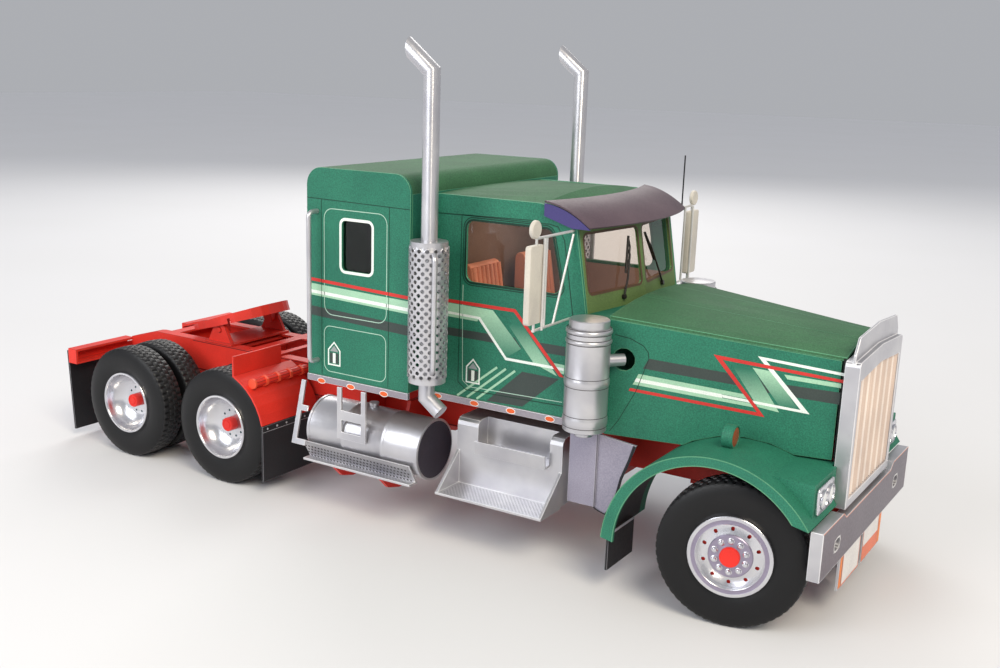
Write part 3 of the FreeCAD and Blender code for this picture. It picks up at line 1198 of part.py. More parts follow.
def grab_rails():
    x = -151.5
    y = SLEEPER_Y + 4.4
    feet = [rod(Vector(x, SLEEPER_Y + 0.02, z), Vector(x, y, z), 0.75, 8) for z in (56.5, 106.6)]
    bar = rod(Vector(x, y, 55.0), Vector(x, y, 108.0), 0.9, 8)
    save("grab_rails", both_sides(fuse(feet + [bar])))


wheels()
front_axle()
steering()
frame()
deck()
flaps()
fifth_wheel_base()
fifth_wheel_plate()
quarter_fenders()
drive_axles()
springs()
driveline()
tanks()
tank_steps()
step_boxes()
splash_panels()
cab_sides()
cab_roof()
windscreen()
cab_inside()
visor()
sleeper()
sill_strips()
hood()
fenders()
front_end()
air_cleaners()
stacks()
mirrors()
grab_rails()
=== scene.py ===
import math

import bmesh
import bpy
import numpy as np
from mathutils import Matrix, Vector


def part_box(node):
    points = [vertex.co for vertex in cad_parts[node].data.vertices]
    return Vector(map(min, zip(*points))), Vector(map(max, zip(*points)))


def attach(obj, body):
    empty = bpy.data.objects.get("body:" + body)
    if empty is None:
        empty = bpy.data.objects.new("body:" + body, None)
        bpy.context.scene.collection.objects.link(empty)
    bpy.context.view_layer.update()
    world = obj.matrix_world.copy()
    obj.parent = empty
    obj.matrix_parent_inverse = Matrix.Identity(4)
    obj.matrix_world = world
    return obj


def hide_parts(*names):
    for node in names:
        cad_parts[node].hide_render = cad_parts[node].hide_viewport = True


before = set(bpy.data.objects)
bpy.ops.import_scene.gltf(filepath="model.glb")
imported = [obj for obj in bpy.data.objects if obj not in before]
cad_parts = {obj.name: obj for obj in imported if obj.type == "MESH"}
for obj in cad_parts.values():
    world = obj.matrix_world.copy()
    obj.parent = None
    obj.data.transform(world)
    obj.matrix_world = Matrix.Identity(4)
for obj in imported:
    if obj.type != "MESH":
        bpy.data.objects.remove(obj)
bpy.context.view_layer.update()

# The camera stands low at the front right corner, where the photograph was taken from. Its place and its
# turn come from measured points of the model. The shift is the small crop of the photograph's frame.
CAMERA_AT = (0.23455, -0.34715, 0.15575)
CAMERA_AZIMUTH, CAMERA_ELEVATION, CAMERA_ROLL = np.radians((-33.127, 14.189, 1.461))
CAMERA_LENS, CAMERA_SHIFT = 41.91, (0.0372, 0.0252)


def unit(vector):
    """Vector of length 1 in the same direction."""
    return vector / np.linalg.norm(vector)


def in_scene(name, data, axes=np.eye(3), place=(0, 0, 0)):
    """Object in the scene whose own x, y and z point along three axes, at a place."""
    made = bpy.data.objects.new(name, data)
    turn = np.eye(4)
    turn[:3, :3] = np.transpose(axes)
    turn[:3, 3] = place
    made.matrix_world = Matrix(turn.tolist())
    bpy.context.scene.collection.objects.link(made)
    return made


look = np.array([math.sin(CAMERA_AZIMUTH) * math.cos(CAMERA_ELEVATION),
                 math.cos(CAMERA_AZIMUTH) * math.cos(CAMERA_ELEVATION), -math.sin(CAMERA_ELEVATION)])
level = unit(np.cross(look, (0, 0, 1)))
upward = np.cross(level, look)
right = math.cos(CAMERA_ROLL) * level + math.sin(CAMERA_ROLL) * upward
top = -math.sin(CAMERA_ROLL) * level + math.cos(CAMERA_ROLL) * upward
camera = in_scene("camera", bpy.data.cameras.new("camera"), (right, top, -look), CAMERA_AT)
camera.data.sensor_width = 36
camera.data.lens = CAMERA_LENS
camera.data.shift_x, camera.data.shift_y = CAMERA_SHIFT
camera.data.clip_start, camera.data.clip_end = 0.01, 20
bpy.context.scene.camera = camera
bpy.context.scene.view_settings.view_transform = "Standard"

# The model stands on a wide sheet of pale paper. A pale sky fills in all round, one broad soft lamp stands
# high ahead of it on the camera's side, and two weaker ones light the side and the back.
FLOOR_HALF = 4.0
SKY_FILL = 0.62


def woven(points, around=False, along=False):
    """Quads over a grid of points: point (i, j) is joined to its neighbours, and to the first row or column."""
    rows, cols = points.shape[:2]
    index = np.arange(rows * cols).reshape(rows, cols)
    if along:
        index = np.vstack([index, index[:1]])
    if around:
        index = np.hstack([index, index[:, :1]])
    quads = np.stack([index[:-1, :-1], index[:-1, 1:], index[1:, 1:], index[1:, :-1]], axis=-1)
    return points.reshape(-1, 3), quads.reshape(-1, 4)


def mesh_of(name, shapes, outward=False):
    """One mesh of several shapes (points in metres, quads), with coincident points merged into one.

    A quad whose first two or last two points are the same is a triangle.
    """
    starts = np.cumsum([0] + [len(points) for points, _ in shapes[:-1]])
    points = np.concatenate([points for points, _ in shapes])
    quads = np.concatenate([quads + start for (_, quads), start in zip(shapes, starts)])
    mesh = bpy.data.meshes.new(name)
    first, last = quads[:, 0] == quads[:, 1], quads[:, 2] == quads[:, 3]
    faces = quads[~(first | last)].tolist() + quads[last][:, :3].tolist() + quads[first][:, 1:].tolist()
    mesh.from_pydata(points.tolist(), [], faces)
    work = bmesh.new()
    work.from_mesh(mesh)
    bmesh.ops.remove_doubles(work, verts=work.verts, dist=1e-6)
    if outward:
        bmesh.ops.recalc_face_normals(work, faces=work.faces)
    work.to_mesh(mesh)
    work.free()
    return mesh


def node_in(tree, kind, values=(), **settings):
    """Shader node of a kind with settings; values are pairs of an input and its number, colour or socket."""
    node = tree.nodes.new("ShaderNode" + kind)
    for name, setting in settings.items():
        setattr(node, name, setting)
    for label, value in dict(values).items():
        if hasattr(value, "is_output"):
            tree.links.new(value, node.inputs[label])
        else:
            node.inputs[label].default_value = value
    return node


def noise_in(tree, vector, scale, detail=2.0):
    """Noise texture on a vector socket; returns its value."""
    return node_in(tree, "TexNoise", {"Vector": vector, "Scale": scale, "Detail": detail}).outputs["Fac"]


def mixed(tree, share, a, b, blend="MIX"):
    """Two colours mixed by a share; each may be a socket or a colour."""
    values = {"Factor": share, "A": a, "B": b}
    return node_in(tree, "Mix", values, data_type="RGBA", blend_type=blend).outputs["Result"]


def floor_of(half):
    """Square sheet: x and y run evenly over the grid and z is 0."""
    x, y = np.meshgrid(np.linspace(-half, half, 9), np.linspace(-half, half, 9))
    return woven(np.stack([x, y, np.zeros_like(x)], axis=-1))


floor = in_scene("paper_floor", mesh_of("paper_floor", [floor_of(FLOOR_HALF)]))
paper = bpy.data.materials.new("paper_floor")
paper.use_nodes = True
shader = paper.node_tree.nodes["Principled BSDF"]
shader.inputs["Roughness"].default_value = 0.9
cloud = noise_in(paper.node_tree, node_in(paper.node_tree, "TexCoord").outputs["Object"], 6)
paper.node_tree.links.new(mixed(paper.node_tree, cloud, (0.74, 0.74, 0.76, 1), (0.71, 0.71, 0.72, 1)),
                          shader.inputs["Base Color"])
floor.data.materials.append(paper)

world = bpy.data.worlds.new("pale_room")
bpy.context.scene.world = world
world.use_nodes = True
sky = world.node_tree
sky.nodes.clear()
ray = node_in(sky, "LightPath").outputs
seen = node_in(sky, "Math", {0: ray["Is Camera Ray"], 1: ray["Is Glossy Ray"]}, operation="ADD")
seen = node_in(sky, "Math", {0: seen.outputs[0], 1: ray["Is Transmission Ray"]}, operation="ADD", use_clamp=True)
fill = node_in(sky, "Background", {"Color": (0.93, 0.95, 1.0, 1), "Strength": SKY_FILL})
pale = node_in(sky, "Background", {"Color": (0.415, 0.425, 0.450, 1), "Strength": 1.0})
choose = node_in(sky, "MixShader", {"Fac": seen.outputs[0], 1: fill.outputs[0], 2: pale.outputs[0]})
node_in(sky, "OutputWorld", {"Surface": choose.outputs[0]})


def lamp(name, place, aim, size, power, colour):
    """Square soft lamp at a place, turned so that its face looks at the aim."""
    light = bpy.data.lights.new(name, "AREA")
    light.size, light.energy, light.color = size, power, colour
    back = unit(np.array(place, float) - aim)
    side = unit(np.cross((0, 0, 1), back))
    in_scene(name, light, (side, np.cross(back, side), back), place)


lamp("front_lamp", (0.75, -0.55, 0.85), (0.02, 0, 0.05), 0.5, 9.0, (1.0, 0.90, 0.72))
lamp("side_lamp", (-0.35, -0.95, 0.55), (0, 0, 0.05), 0.7, 6.0, (0.96, 0.98, 1.0))
lamp("back_lamp", (-0.5, 0.8, 0.7), (0, 0, 0.05), 0.7, 5.0, (1.0, 0.97, 0.92))

# The card itself: printed sheets of paper about 1 mm thick when laminated. The print has a fine speckle and
# slight clouds, and where a sheet is folded or cut the ink cracks and the paper shows.
GRAIN_SCALE, CLOUD_SCALE, DOT_SCALE = 2600, 70, 1040
PAPER_SPECULAR = 0.32


def ranged(tree, value, low, high, to_low=0.0, to_high=1.0):
    """Value mapped from one range to another and held inside it; returns its output socket."""
    values = {"Value": value, "From Min": low, "From Max": high, "To Min": to_low, "To Max": to_high}
    return node_in(tree, "MapRange", values).outputs["Result"]


grain = bpy.data.node_groups.new("printed_card", "ShaderNodeTree")
for label, kind in (("Vector", "Vector"), ("Ink", "Color"), ("Speckle", "Float"), ("Gloss", "Float")):
    grain.interface.new_socket(label, in_out="INPUT", socket_type="NodeSocket" + kind)
for label, kind in (("Color", "Color"), ("Roughness", "Float"), ("Height", "Float")):
    grain.interface.new_socket(label, in_out="OUTPUT", socket_type="NodeSocket" + kind)
entry, leave = grain.nodes.new("NodeGroupInput").outputs, grain.nodes.new("NodeGroupOutput").inputs
fine = noise_in(grain, entry["Vector"], GRAIN_SCALE, 3.0)
broad = noise_in(grain, entry["Vector"], CLOUD_SCALE, 3.0)
dots = noise_in(grain, entry["Vector"], DOT_SCALE, 1.0)
darker = mixed(grain, ranged(grain, broad, 0.3, 0.7), (1.06, 1.06, 1.06, 1), (0.88, 0.88, 0.90, 1))
inked = mixed(grain, 1.0, entry["Ink"], darker, "MULTIPLY")
speck = mixed(grain, ranged(grain, fine, 0.35, 0.65), (0.72, 0.72, 0.74, 1), (1.25, 1.25, 1.2, 1))
spotted = mixed(grain, 1.0, inked, speck, "MULTIPLY")
dull = node_in(grain, "Math", {0: entry["Gloss"], 1: ranged(grain, dots, 0.3, 0.7, -0.03, 0.03)}, operation="ADD")
grain.links.new(mixed(grain, entry["Speckle"], inked, spotted), leave["Color"])
grain.links.new(dull.outputs[0], leave["Roughness"])
grain.links.new(fine, leave["Height"])


def card(name, ink, gloss=0.5, speckle=0.25, metal=0.0, bump=0.06, shade=None):
    """Material of printed card: ink colour, speckle of the print, gloss and a faint paper tooth.

    Shade may be a function that is given the tree and the object coordinates and returns the ink's socket.
    """
    made = bpy.data.materials.new(name)
    made.use_nodes = True
    tree = made.node_tree
    place = node_in(tree, "TexCoord").outputs["Object"]
    node = tree.nodes.new("ShaderNodeGroup")
    node.node_tree = grain
    node.inputs["Speckle"].default_value = speckle
    node.inputs["Gloss"].default_value = gloss
    tree.links.new(place, node.inputs["Vector"])
    if shade:
        tree.links.new(shade(tree, place), node.inputs["Ink"])
    else:
        node.inputs["Ink"].default_value = (*ink, 1)
    tooth = node_in(tree, "Bump", {"Strength": bump, "Distance": 0.0001, "Height": node.outputs["Height"]})
    inputs = tree.nodes["Principled BSDF"].inputs
    inputs["Metallic"].default_value = metal
    inputs["Specular IOR Level"].default_value = PAPER_SPECULAR
    tree.links.new(node.outputs["Color"], inputs["Base Color"])
    tree.links.new(node.outputs["Roughness"], inputs["Roughness"])
    tree.links.new(tooth.outputs["Normal"], inputs["Normal"])
    return made


def cut_edges(made, edge, width=0.14, angle=40):
    """Narrow bevel on the sharp edges of a piece or a CAD node, with the material of a cracked or cut edge."""
    made.data.materials.append(edge)
    bevel = made.modifiers.new("edge", "BEVEL")
    bevel.width = width / 1000
    bevel.segments = 2
    bevel.limit_method = "ANGLE"
    bevel.angle_limit = math.radians(angle)
    bevel.material = 1


def dress(names, finish, edge, width=0.13):
    """Print CAD nodes: their triangles are joined into flat sheets and their edges get a narrow bevel."""
    for name in names:
        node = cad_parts[name]
        node.data.materials.clear()
        node.data.materials.append(finish)
        node.modifiers.new("weld", "WELD").merge_threshold = 1e-6
        flat = node.modifiers.new("flat", "DECIMATE")
        flat.decimate_type = "DISSOLVE"
        flat.angle_limit = math.radians(0.6)
        cut_edges(node, edge, width, 28)


# The chassis is red card: two channel rails with cross-members, the rear beam, springs, axles and the deck,
# each folded from one printed sheet and glued. Its folds show a darker red where the ink has cracked.
red_card = card("red_card", (0.72, 0.035, 0.022), gloss=0.42, speckle=0.18)
red_edge = card("red_edge", (0.34, 0.022, 0.014), gloss=0.6, speckle=0.3)
dress(["frame_rails", "cross_members", "rear_beam", "deck_plate", "fifth_wheel_base", "fifth_wheel_plate",
       "quarter_fenders", "leaf_springs", "front_axle", "knuckle_left", "knuckle_right", "driveline",
       "tank_saddles", "drive_axles", "fender_tubes"], red_card, red_edge)

# Mud flaps are thin black card hung behind the wheels. A pale strip with six small rivet heads is printed
# across the top of each one ahead of the drive wheels, and its edges are lined in grey.
PLANS_SHIFT = 131.15
FLAP_FACE_X, FLAP_IN, FLAP_OUT = -176.54, 18.9, 49.4
RIVETS, RIVET_Z = 6, 25.5


def row(points):
    """Lengths on the plans, in mm with X from near the front axle, as metres in the row frame."""
    return (np.asarray(points, float) + (PLANS_SHIFT, 0, 0)) / 1000


def lathe(profile, sides, axis="y"):
    """Turned surface: each (radius, along) of the profile is carried round the axis; the first angle is 0."""
    profile = np.asarray(profile, float)
    angle = np.linspace(0, 2 * np.pi, sides, endpoint=False)
    r, along = profile[:, :1], np.repeat(profile[:, 1:2], sides, axis=1)
    c, s = r * np.cos(angle), r * np.sin(angle)
    order = {"y": (s, along, c), "z": (c, s, along), "x": (along, c, s)}[axis]
    return woven(np.stack(order, axis=-1), around=True)


def moved(shape, shift=(0, 0, 0), turn=np.eye(3)):
    """Shape turned by a 3 by 3 matrix and then shifted; a mirrored one has its faces turned round."""
    points, quads = shape
    points = points @ np.asarray(turn).T + shift
    return points, (quads[:, ::-1] if np.linalg.det(turn) < 0 else quads)


def mirrored(shape):
    """The same shape on the other side of the vehicle."""
    return moved(shape, turn=np.diag((1, -1, 1)))


def piece(name, shapes, finish, replaces=(), body="root", both=True, crease=35, wall=0.0, outward=False):
    """Object on the plans: its shapes, material, replaced CAD nodes and body.

    Both adds the mirror image of each shape. Wall is the card's thickness behind a sheet, whose open edges are
    sharp. Outward has all normals recalculated.
    """
    every = list(shapes) + ([mirrored(s) for s in shapes] if both else [])
    made = in_scene(name, mesh_of(name, [(row(points), quads) for points, quads in every], outward))
    made.data.materials.append(finish)
    made.data.shade_smooth()
    made.data.set_sharp_from_angle(angle=math.radians(crease))
    if wall:
        many = len(made.data.edges)
        joined = np.empty(len(made.data.loops), int)
        made.data.loops.foreach_get("edge_index", joined)
        sharp = np.empty(many, bool)
        made.data.edges.foreach_get("use_edge_sharp", sharp)
        made.data.edges.foreach_set("use_edge_sharp", sharp | (np.bincount(joined, minlength=many) == 1))
        thick = made.modifiers.new("card", "SOLIDIFY")
        thick.thickness = wall / 1000
        thick.offset = -1
    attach(made, body)
    for node in replaces:
        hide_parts(node)
    return made


def bar(low, high):
    """Box between two corners, as its six faces."""
    x, y, z = np.meshgrid(*zip(low, high), indexing="ij")
    points = np.stack([x, y, z], axis=-1).reshape(-1, 3)
    return points, np.array([[0, 1, 3, 2], [4, 6, 7, 5], [0, 4, 5, 1], [2, 3, 7, 6], [0, 2, 6, 4], [1, 5, 7, 3]])


black_card = card("black_card", (0.016, 0.016, 0.019), gloss=0.48, speckle=0.5)
grey_line = card("grey_line", (0.20, 0.20, 0.22), gloss=0.5)
dress(["mud_flaps"], black_card, grey_line, 0.1)
rivet = lathe([(0.42, 0.0), (0.36, 0.14), (0.2, 0.22), (0.0, 0.24)], 12, "x")
heads = [moved(rivet, (FLAP_FACE_X, y, RIVET_Z)) for y in np.linspace(FLAP_IN + 2.6, FLAP_OUT - 2.4, RIVETS)]
strip = bar((FLAP_FACE_X, FLAP_IN, 24.4), (FLAP_FACE_X + 0.05, FLAP_OUT, 24.55))
piece("flap_rivets", heads + [strip], card("pale_rivet", (0.42, 0.42, 0.45), gloss=0.4))
silver_line = card("silver_line", (0.45, 0.45, 0.52), gloss=0.35, metal=0.4)
piece("front_flap_strips", [bar((-37.5, 31.0, 19.2), (-37.42, 46.5, 20.0))], silver_line)

# A tyre is rolled from black card over rings: smooth round walls and a tread of raised blocks in four ribs,
# with the faces of the blocks worn a little paler than the grooves. The twins on a drive wheel are alike.
TYRE_R, BEAD_R, TREAD_HALF, WHEEL_Z = 22.0, 12.3, 4.5, 22.0
BLOCKS, STEPS_A_BLOCK, RAISED_STEPS = 54, 6, 4
TREAD_DEPTH, SHOULDER_SHARE, CROWN_DROP = 0.36, 0.4, 0.30
WALL, GROOVE = 8, 9
WORN_FROM, WORN_OVER = 21.45, 0.2
FRONT_X, KINGPIN_Y, KINGPIN_IN, STEER = -1.2, 40.2, 2.0, 10.0
AXLES_X, TWIN_Y, TWIN_HALF = (-199.5, -251.5), 36.3, 6.5


def curve_through(points, count):
    """Smooth line through points: each stretch is the cubic whose slopes at its ends follow its neighbours."""
    p = np.asarray(points, float)
    p = np.concatenate([2 * p[:1] - p[1:2], p, 2 * p[-1:] - p[-2:-1]])
    t = np.linspace(0, len(p) - 3, count)
    i = np.minimum(t.astype(int), len(p) - 4)
    f = (t - i)[:, None]
    a, b, c, d = p[i], p[i + 1], p[i + 2], p[i + 3]
    return 0.5 * (2 * b + (c - a) * f + (2 * a - 5 * b + 4 * c - d) * f ** 2 + (3 * b - a - 3 * c + d) * f ** 3)


def tyre_surface():
    """Radius is a function of the turn and the place across: wall curve, crown, less the depth of the grooves.

    The blocks of each rib fill four of six steps round, and every second rib is shifted by half a block.
    """
    wall = curve_through([(BEAD_R, 4.75), (14.2, 5.35), (16.6, 5.6), (18.8, 5.5), (20.5, 5.1), (21.35, 4.75)], 12)
    edges = np.array([TREAD_HALF, 3.5, 2.55, 2.4, 2.05, 1.9, 1.1, 0.3, 0.15])
    across = np.concatenate([edges, -edges[::-1]])
    rib = np.array([0, 0, 0, GROOVE, GROOVE, 1, 1, 1, GROOVE, GROOVE, 2, 2, 2, GROOVE, GROOVE, 3, 3, 3])
    crown = TYRE_R - CROWN_DROP * (across / TREAD_HALF) ** 2
    r = np.concatenate([wall[:, 0], crown, wall[::-1, 0]])
    y = np.concatenate([wall[:, 1], across, -wall[::-1, 1]])
    side = np.full(len(wall) - 1, WALL)
    ribs = np.concatenate([side, [0], rib, [3], side])
    step = np.arange(BLOCKS * STEPS_A_BLOCK)
    shifted = step[None, :] + (ribs[:, None] % 2) * (STEPS_A_BLOCK // 2)
    between = 1.0 - (shifted % STEPS_A_BLOCK < RAISED_STEPS)
    groove = np.where(ribs[:, None] == GROOVE, 1.0, np.where(ribs[:, None] == WALL, 0.0, between))
    shoulder = np.where(np.abs(y) > TREAD_HALF - 0.5, SHOULDER_SHARE, 1.0)
    radius = r[:, None] - TREAD_DEPTH * groove * shoulder[:, None]
    angle = 2 * np.pi * step / len(step)
    points = np.stack([radius * np.sin(angle), np.repeat(y[:, None], len(step), 1), radius * np.cos(angle)], axis=-1)
    return woven(points[::-1], around=True, along=True)


def rubber_ink(tree, place):
    """Ink is a little paler on the tread's raised faces, which an attribute of the piece marks."""
    worn = node_in(tree, "Attribute", attribute_name="worn").outputs["Fac"]
    return mixed(tree, worn, (0.006, 0.006, 0.007, 1), (0.022, 0.022, 0.024, 1))


def turned(degrees):
    """Matrix of a turn about the vertical."""
    c, s = math.cos(math.radians(degrees)), math.sin(math.radians(degrees))
    return np.array(((c, -s, 0), (s, c, 0), (0, 0, 1)))


def at_wheel(shape, x, y, side, steer=0.0, out=0.0):
    """Wheel piece put out from its kingpin, mirrored for the right side (-1), steered and set on its axle."""
    shape = moved(shape, (0, out, 0))
    if side < 0:
        shape = mirrored(shape)
    return moved(moved(shape, turn=turned(steer)), (x, y * side, WHEEL_Z))


def mark_worn(made, x, y, side, steer=0.0):
    """Sets the worn attribute: 1 where a point lies at the tread's radius from the wheel's axle, else 0."""
    points = np.empty(len(made.data.vertices) * 3)
    made.data.vertices.foreach_get("co", points)
    points = (points.reshape(-1, 3) * 1000 - (PLANS_SHIFT + x, y * side, WHEEL_Z)) @ turned(steer)
    far = np.hypot(points[:, 0], points[:, 2])
    worn = made.data.attributes.new("worn", "FLOAT", "POINT")
    worn.data.foreach_set("value", np.clip((far - WORN_FROM) / WORN_OVER, 0, 1))


SIDES = ((1, "left"), (-1, "right"))
DRIVE_WHEELS = [("_%d_%s" % (number, word), (x, TWIN_Y, side)) for side, word in SIDES
                for number, x in enumerate(AXLES_X, 1)]
tyre_card = card("tyre_card", (0.01, 0.01, 0.011), gloss=0.40, speckle=0.35, shade=rubber_ink)
one_tyre = tyre_surface()
for side, word in SIDES:
    shape = at_wheel(one_tyre, FRONT_X, KINGPIN_Y, side, STEER, KINGPIN_IN)
    made = piece("front_tyre_card_" + word, [shape], tyre_card, ["front_tyre_" + word],
                 "front_wheel_" + word, both=False, crease=50)
    mark_worn(made, FRONT_X, KINGPIN_Y, side, STEER)
for end, place in DRIVE_WHEELS:
    pair = [at_wheel(moved(one_tyre, (0, y, 0)), *place) for y in (TWIN_HALF, -TWIN_HALF)]
    made = piece("twin_tyre_card" + end, pair, tyre_card, ["twin_tyres" + end], "drive_wheel" + end,
                 both=False, crease=50)
    mark_worn(made, *place)

# A front rim is pressed from silver card: a flat lip, a dish with ten hand holes that show red behind, and a
# raised hub with ten turned nuts round a red cap. All of it is glued in the tyre's bead.
LIP_Y, DISC_Y, HUB_Y, NUT_RING = 5.72, 3.7, 4.95, 4.72
HAND_HOLES, HAND_HOLE_R, HAND_RING, DISH_HALF = 10, 0.62, 8.1, 1.6
FLAT_HOLE_R = 0.1
SECTOR = 2 * np.pi / HAND_HOLES


def pierced(centres, corners, hole_r, per_side):
    """Flat sheet with a round hole in every cell: points run from the hole's edge out to the cell's outline."""
    corners = np.asarray(corners, float)
    share = np.arange(per_side)[None, :, None] / per_side
    outline = (corners[:, None] * (1 - share) + np.roll(corners, -1, 0)[:, None] * share).reshape(-1, 2)
    ring = outline * hole_r / np.linalg.norm(outline, axis=1, keepdims=True)
    rows = ring + (outline - ring) * np.array([0.0, 0.45, 1.0])[:, None, None]
    cells = np.asarray(centres, float)[:, None, None] + rows
    many, one = len(cells), rows.shape[0] * rows.shape[1]
    _, quads = woven(np.concatenate([rows, rows[..., :1]], axis=-1), around=True)
    return cells.reshape(-1, 2), (quads[None] + one * np.arange(many)[:, None, None]).reshape(-1, 4)


def dish_surface():
    """Ring of the rim with its hand holes: a flat pierced strip is wrapped round, and its depth follows the radius.

    Cells are one unit wide on the strip. The points on a hole's edge are spread to its true radius.
    """
    corners = [(-0.5, -DISH_HALF), (0.5, -DISH_HALF), (0.5, DISH_HALF), (-0.5, DISH_HALF)]
    flat, cells = pierced([(k, 0.0) for k in range(HAND_HOLES)], corners, FLAT_HOLE_R, 5)
    from_hole = flat - np.round(flat[:, :1]) * (1, 0)
    near = np.isclose(np.hypot(from_hole[:, 0], from_hole[:, 1]), FLAT_HOLE_R)
    spread = HAND_HOLE_R / FLAT_HOLE_R
    at_hole = (flat[:, 0] - from_hole[:, 0]) * SECTOR + from_hole[:, 0] * spread / HAND_RING
    angle = np.where(near, at_hole, flat[:, 0] * SECTOR)
    r = HAND_RING + np.where(near, from_hole[:, 1] * spread, flat[:, 1])
    depth = DISC_Y + 0.62 * np.clip((HAND_RING + DISH_HALF - r) / 3.2, 0, 1) ** 1.6
    return np.stack([r * np.sin(angle), depth, r * np.cos(angle)], axis=-1), cells


def ringed(shape, radius, y, start=0.0):
    """Copies of a small turned shape on a ring round the wheel's axle, one to each sector."""
    angles = SECTOR * (np.arange(HAND_HOLES) + start)
    return [moved(shape, (radius * math.cos(a), y, radius * math.sin(a))) for a in angles]


def foil_ink(tree, place):
    """Silver ink with faint long clouds, as brushed foil has."""
    stretch = node_in(tree, "Mapping", {"Vector": place, "Scale": (1.0, 1.0, 0.25)})
    streak = noise_in(tree, stretch.outputs["Vector"], 260, 3.0)
    return mixed(tree, ranged(tree, streak, 0.3, 0.7), (0.68, 0.68, 0.72, 1), (0.76, 0.76, 0.78, 1))


foil = card("foil", (0.72, 0.72, 0.75), gloss=0.24, speckle=0.03, metal=0.95, bump=0.0, shade=foil_ink)
grey_foil = card("grey_foil", (0.36, 0.32, 0.42), gloss=0.34, speckle=0.12, metal=0.8, bump=0.0)
red_foil = card("red_foil", (0.75, 0.03, 0.02), gloss=0.35, speckle=0.1)
lip = lathe([(BEAD_R - 0.3, -5.4), (BEAD_R, -5.2), (BEAD_R, 5.2), (12.25, 5.6), (12.1, LIP_Y), (11.2, LIP_Y)], 96)
dish_side = lathe([(9.95, LIP_Y), (9.82, 5.62), (9.7, DISC_Y + 0.05)], 96)
flat_lip = lathe([(11.2, LIP_Y), (11.15, LIP_Y - 0.03), (10.0, LIP_Y - 0.03), (9.95, LIP_Y)], 96)
barrel = lathe([(0.0, 2.6), (10.5, 2.6), (10.6, -5.4), (BEAD_R - 0.3, -5.4)], 96)
hub = lathe([(6.5, DISC_Y + 0.6), (6.42, 4.75), (6.2, HUB_Y), (3.4, HUB_Y), (3.2, HUB_Y + 0.12),
             (2.9, HUB_Y + 0.12)], 72)
nut = lathe([(0.98, 0.0), (0.96, 0.2), (0.78, 0.3), (0.72, 0.55), (0.6, 0.8), (0.36, 0.92), (0.0, 0.96)], 16)
cap = lathe([(2.95, HUB_Y), (2.95, 5.95), (2.8, 6.18), (0.0, 6.2)], 48)
behind = lathe([(9.6, 3.1), (5.9, 3.1)], 48)
foil_parts = [lip, barrel, dish_surface(), dish_side] + ringed(nut, NUT_RING, HUB_Y, 0.5)
for side, word in SIDES:
    for name, parts, finish, slot, replaced in (
            ("front_rim_foil_", foil_parts, foil, "silver_card", ["front_rim_" + word]),
            ("front_hub_", [hub, flat_lip], grey_foil, "silver_card", []),
            ("front_cap_", [cap, behind], red_foil, "red_card", [])):
        placed = [at_wheel(s, FRONT_X, KINGPIN_Y, side, STEER, KINGPIN_IN) for s in parts]
        piece(name + word, placed, finish, replaced, "front_wheel_" + word, both=False)

# A twin rim is two barrels back to back: the outer one is a deep bowl of bright silver card with a narrow
# lip, ten small dark studs on its floor, and a tall red cap of rolled card over the hub.
REACH, FLOOR_Y, STUD_RING = 12.1, 5.1, 5.0
bowl_curve = curve_through([(11.3, 11.8), (10.9, 9.6), (9.9, 7.6), (8.2, 6.0), (6.4, 5.2)], 14)
bowl = lathe(np.concatenate([[(BEAD_R - 0.3, -REACH + 0.2), (BEAD_R, -REACH + 0.3), (BEAD_R, 11.6), (12.22, 11.98),
                              (12.08, 12.12), (11.5, 12.12), (11.38, 12.0)], bowl_curve,
                             [(6.1, FLOOR_Y), (2.6, FLOOR_Y)]]), 96)
back = lathe([(2.4, -4.7), (4.5, -4.6), (4.6, -1.2), (10.5, -1.0), (10.7, -REACH + 0.2),
              (BEAD_R - 0.3, -REACH + 0.2)], 96)
stud = lathe([(0.45, 0.0), (0.4, 0.08), (0.0, 0.08)], 12)
tall_cap = lathe([(2.6, FLOOR_Y), (2.6, 8.0), (2.45, 8.25), (1.95, 8.28), (1.85, 8.08), (1.45, 8.05), (1.35, 8.3),
                  (0.0, 8.32)], 48)
dark_stud = card("dark_stud", (0.01, 0.05, 0.06), gloss=0.4)
for end, place in DRIVE_WHEELS:
    for name, parts, finish, slot, replaced in (
            ("twin_rim_foil", [bowl, back], foil, "silver_card", ["twin_rims" + end]),
            ("twin_cap", [tall_cap], red_foil, "red_card", []),
            ("rim_studs", ringed(stud, STUD_RING, FLOOR_Y), dark_stud, "black_card", [])):
        placed = [at_wheel(s, *place) for s in parts]
        piece(name + end, placed, finish, replaced, "drive_wheel" + end, both=False)

# Fuel tanks are drums rolled from silver card, with a seam band at each end, two straps and a filler cap. They
# rest in red saddles, and their front ends are printed dark to look like shaded metal.
TANK_R, TANK_Y, TANK_Z, TANK_REAR, TANK_FRONT = 10.5, 37.5, 29.0, -157.0, -109.0
SEAM_R, STRAP_OUT, STRAP_WIDE = 10.75, 0.25, 2.0


def silver_ink(tree, place):
    """Silver ink that goes a little darker in soft clouds."""
    cloud = noise_in(tree, place, 90, 3.0)
    return mixed(tree, ranged(tree, cloud, 0.3, 0.7), (0.54, 0.535, 0.57, 1), (0.64, 0.635, 0.65, 1))


def ridge(radius, low, out, height):
    """Profile points of one raised band round a turned piece, from low upwards."""
    return [(radius + out * far, low + height * up)
            for far, up in ((0, 0), (0.7, 0.15), (1, 0.35), (1, 0.65), (0.7, 0.85), (0, 1))]


def printed(name, shapes, ink, gloss=0.45, metal=0.0, both=True, speckle=0.25):
    """Printed marks as thin sheets just proud of the card, with a material of their own."""
    return piece(name, shapes, card(name, ink, gloss, speckle, metal), both=both)


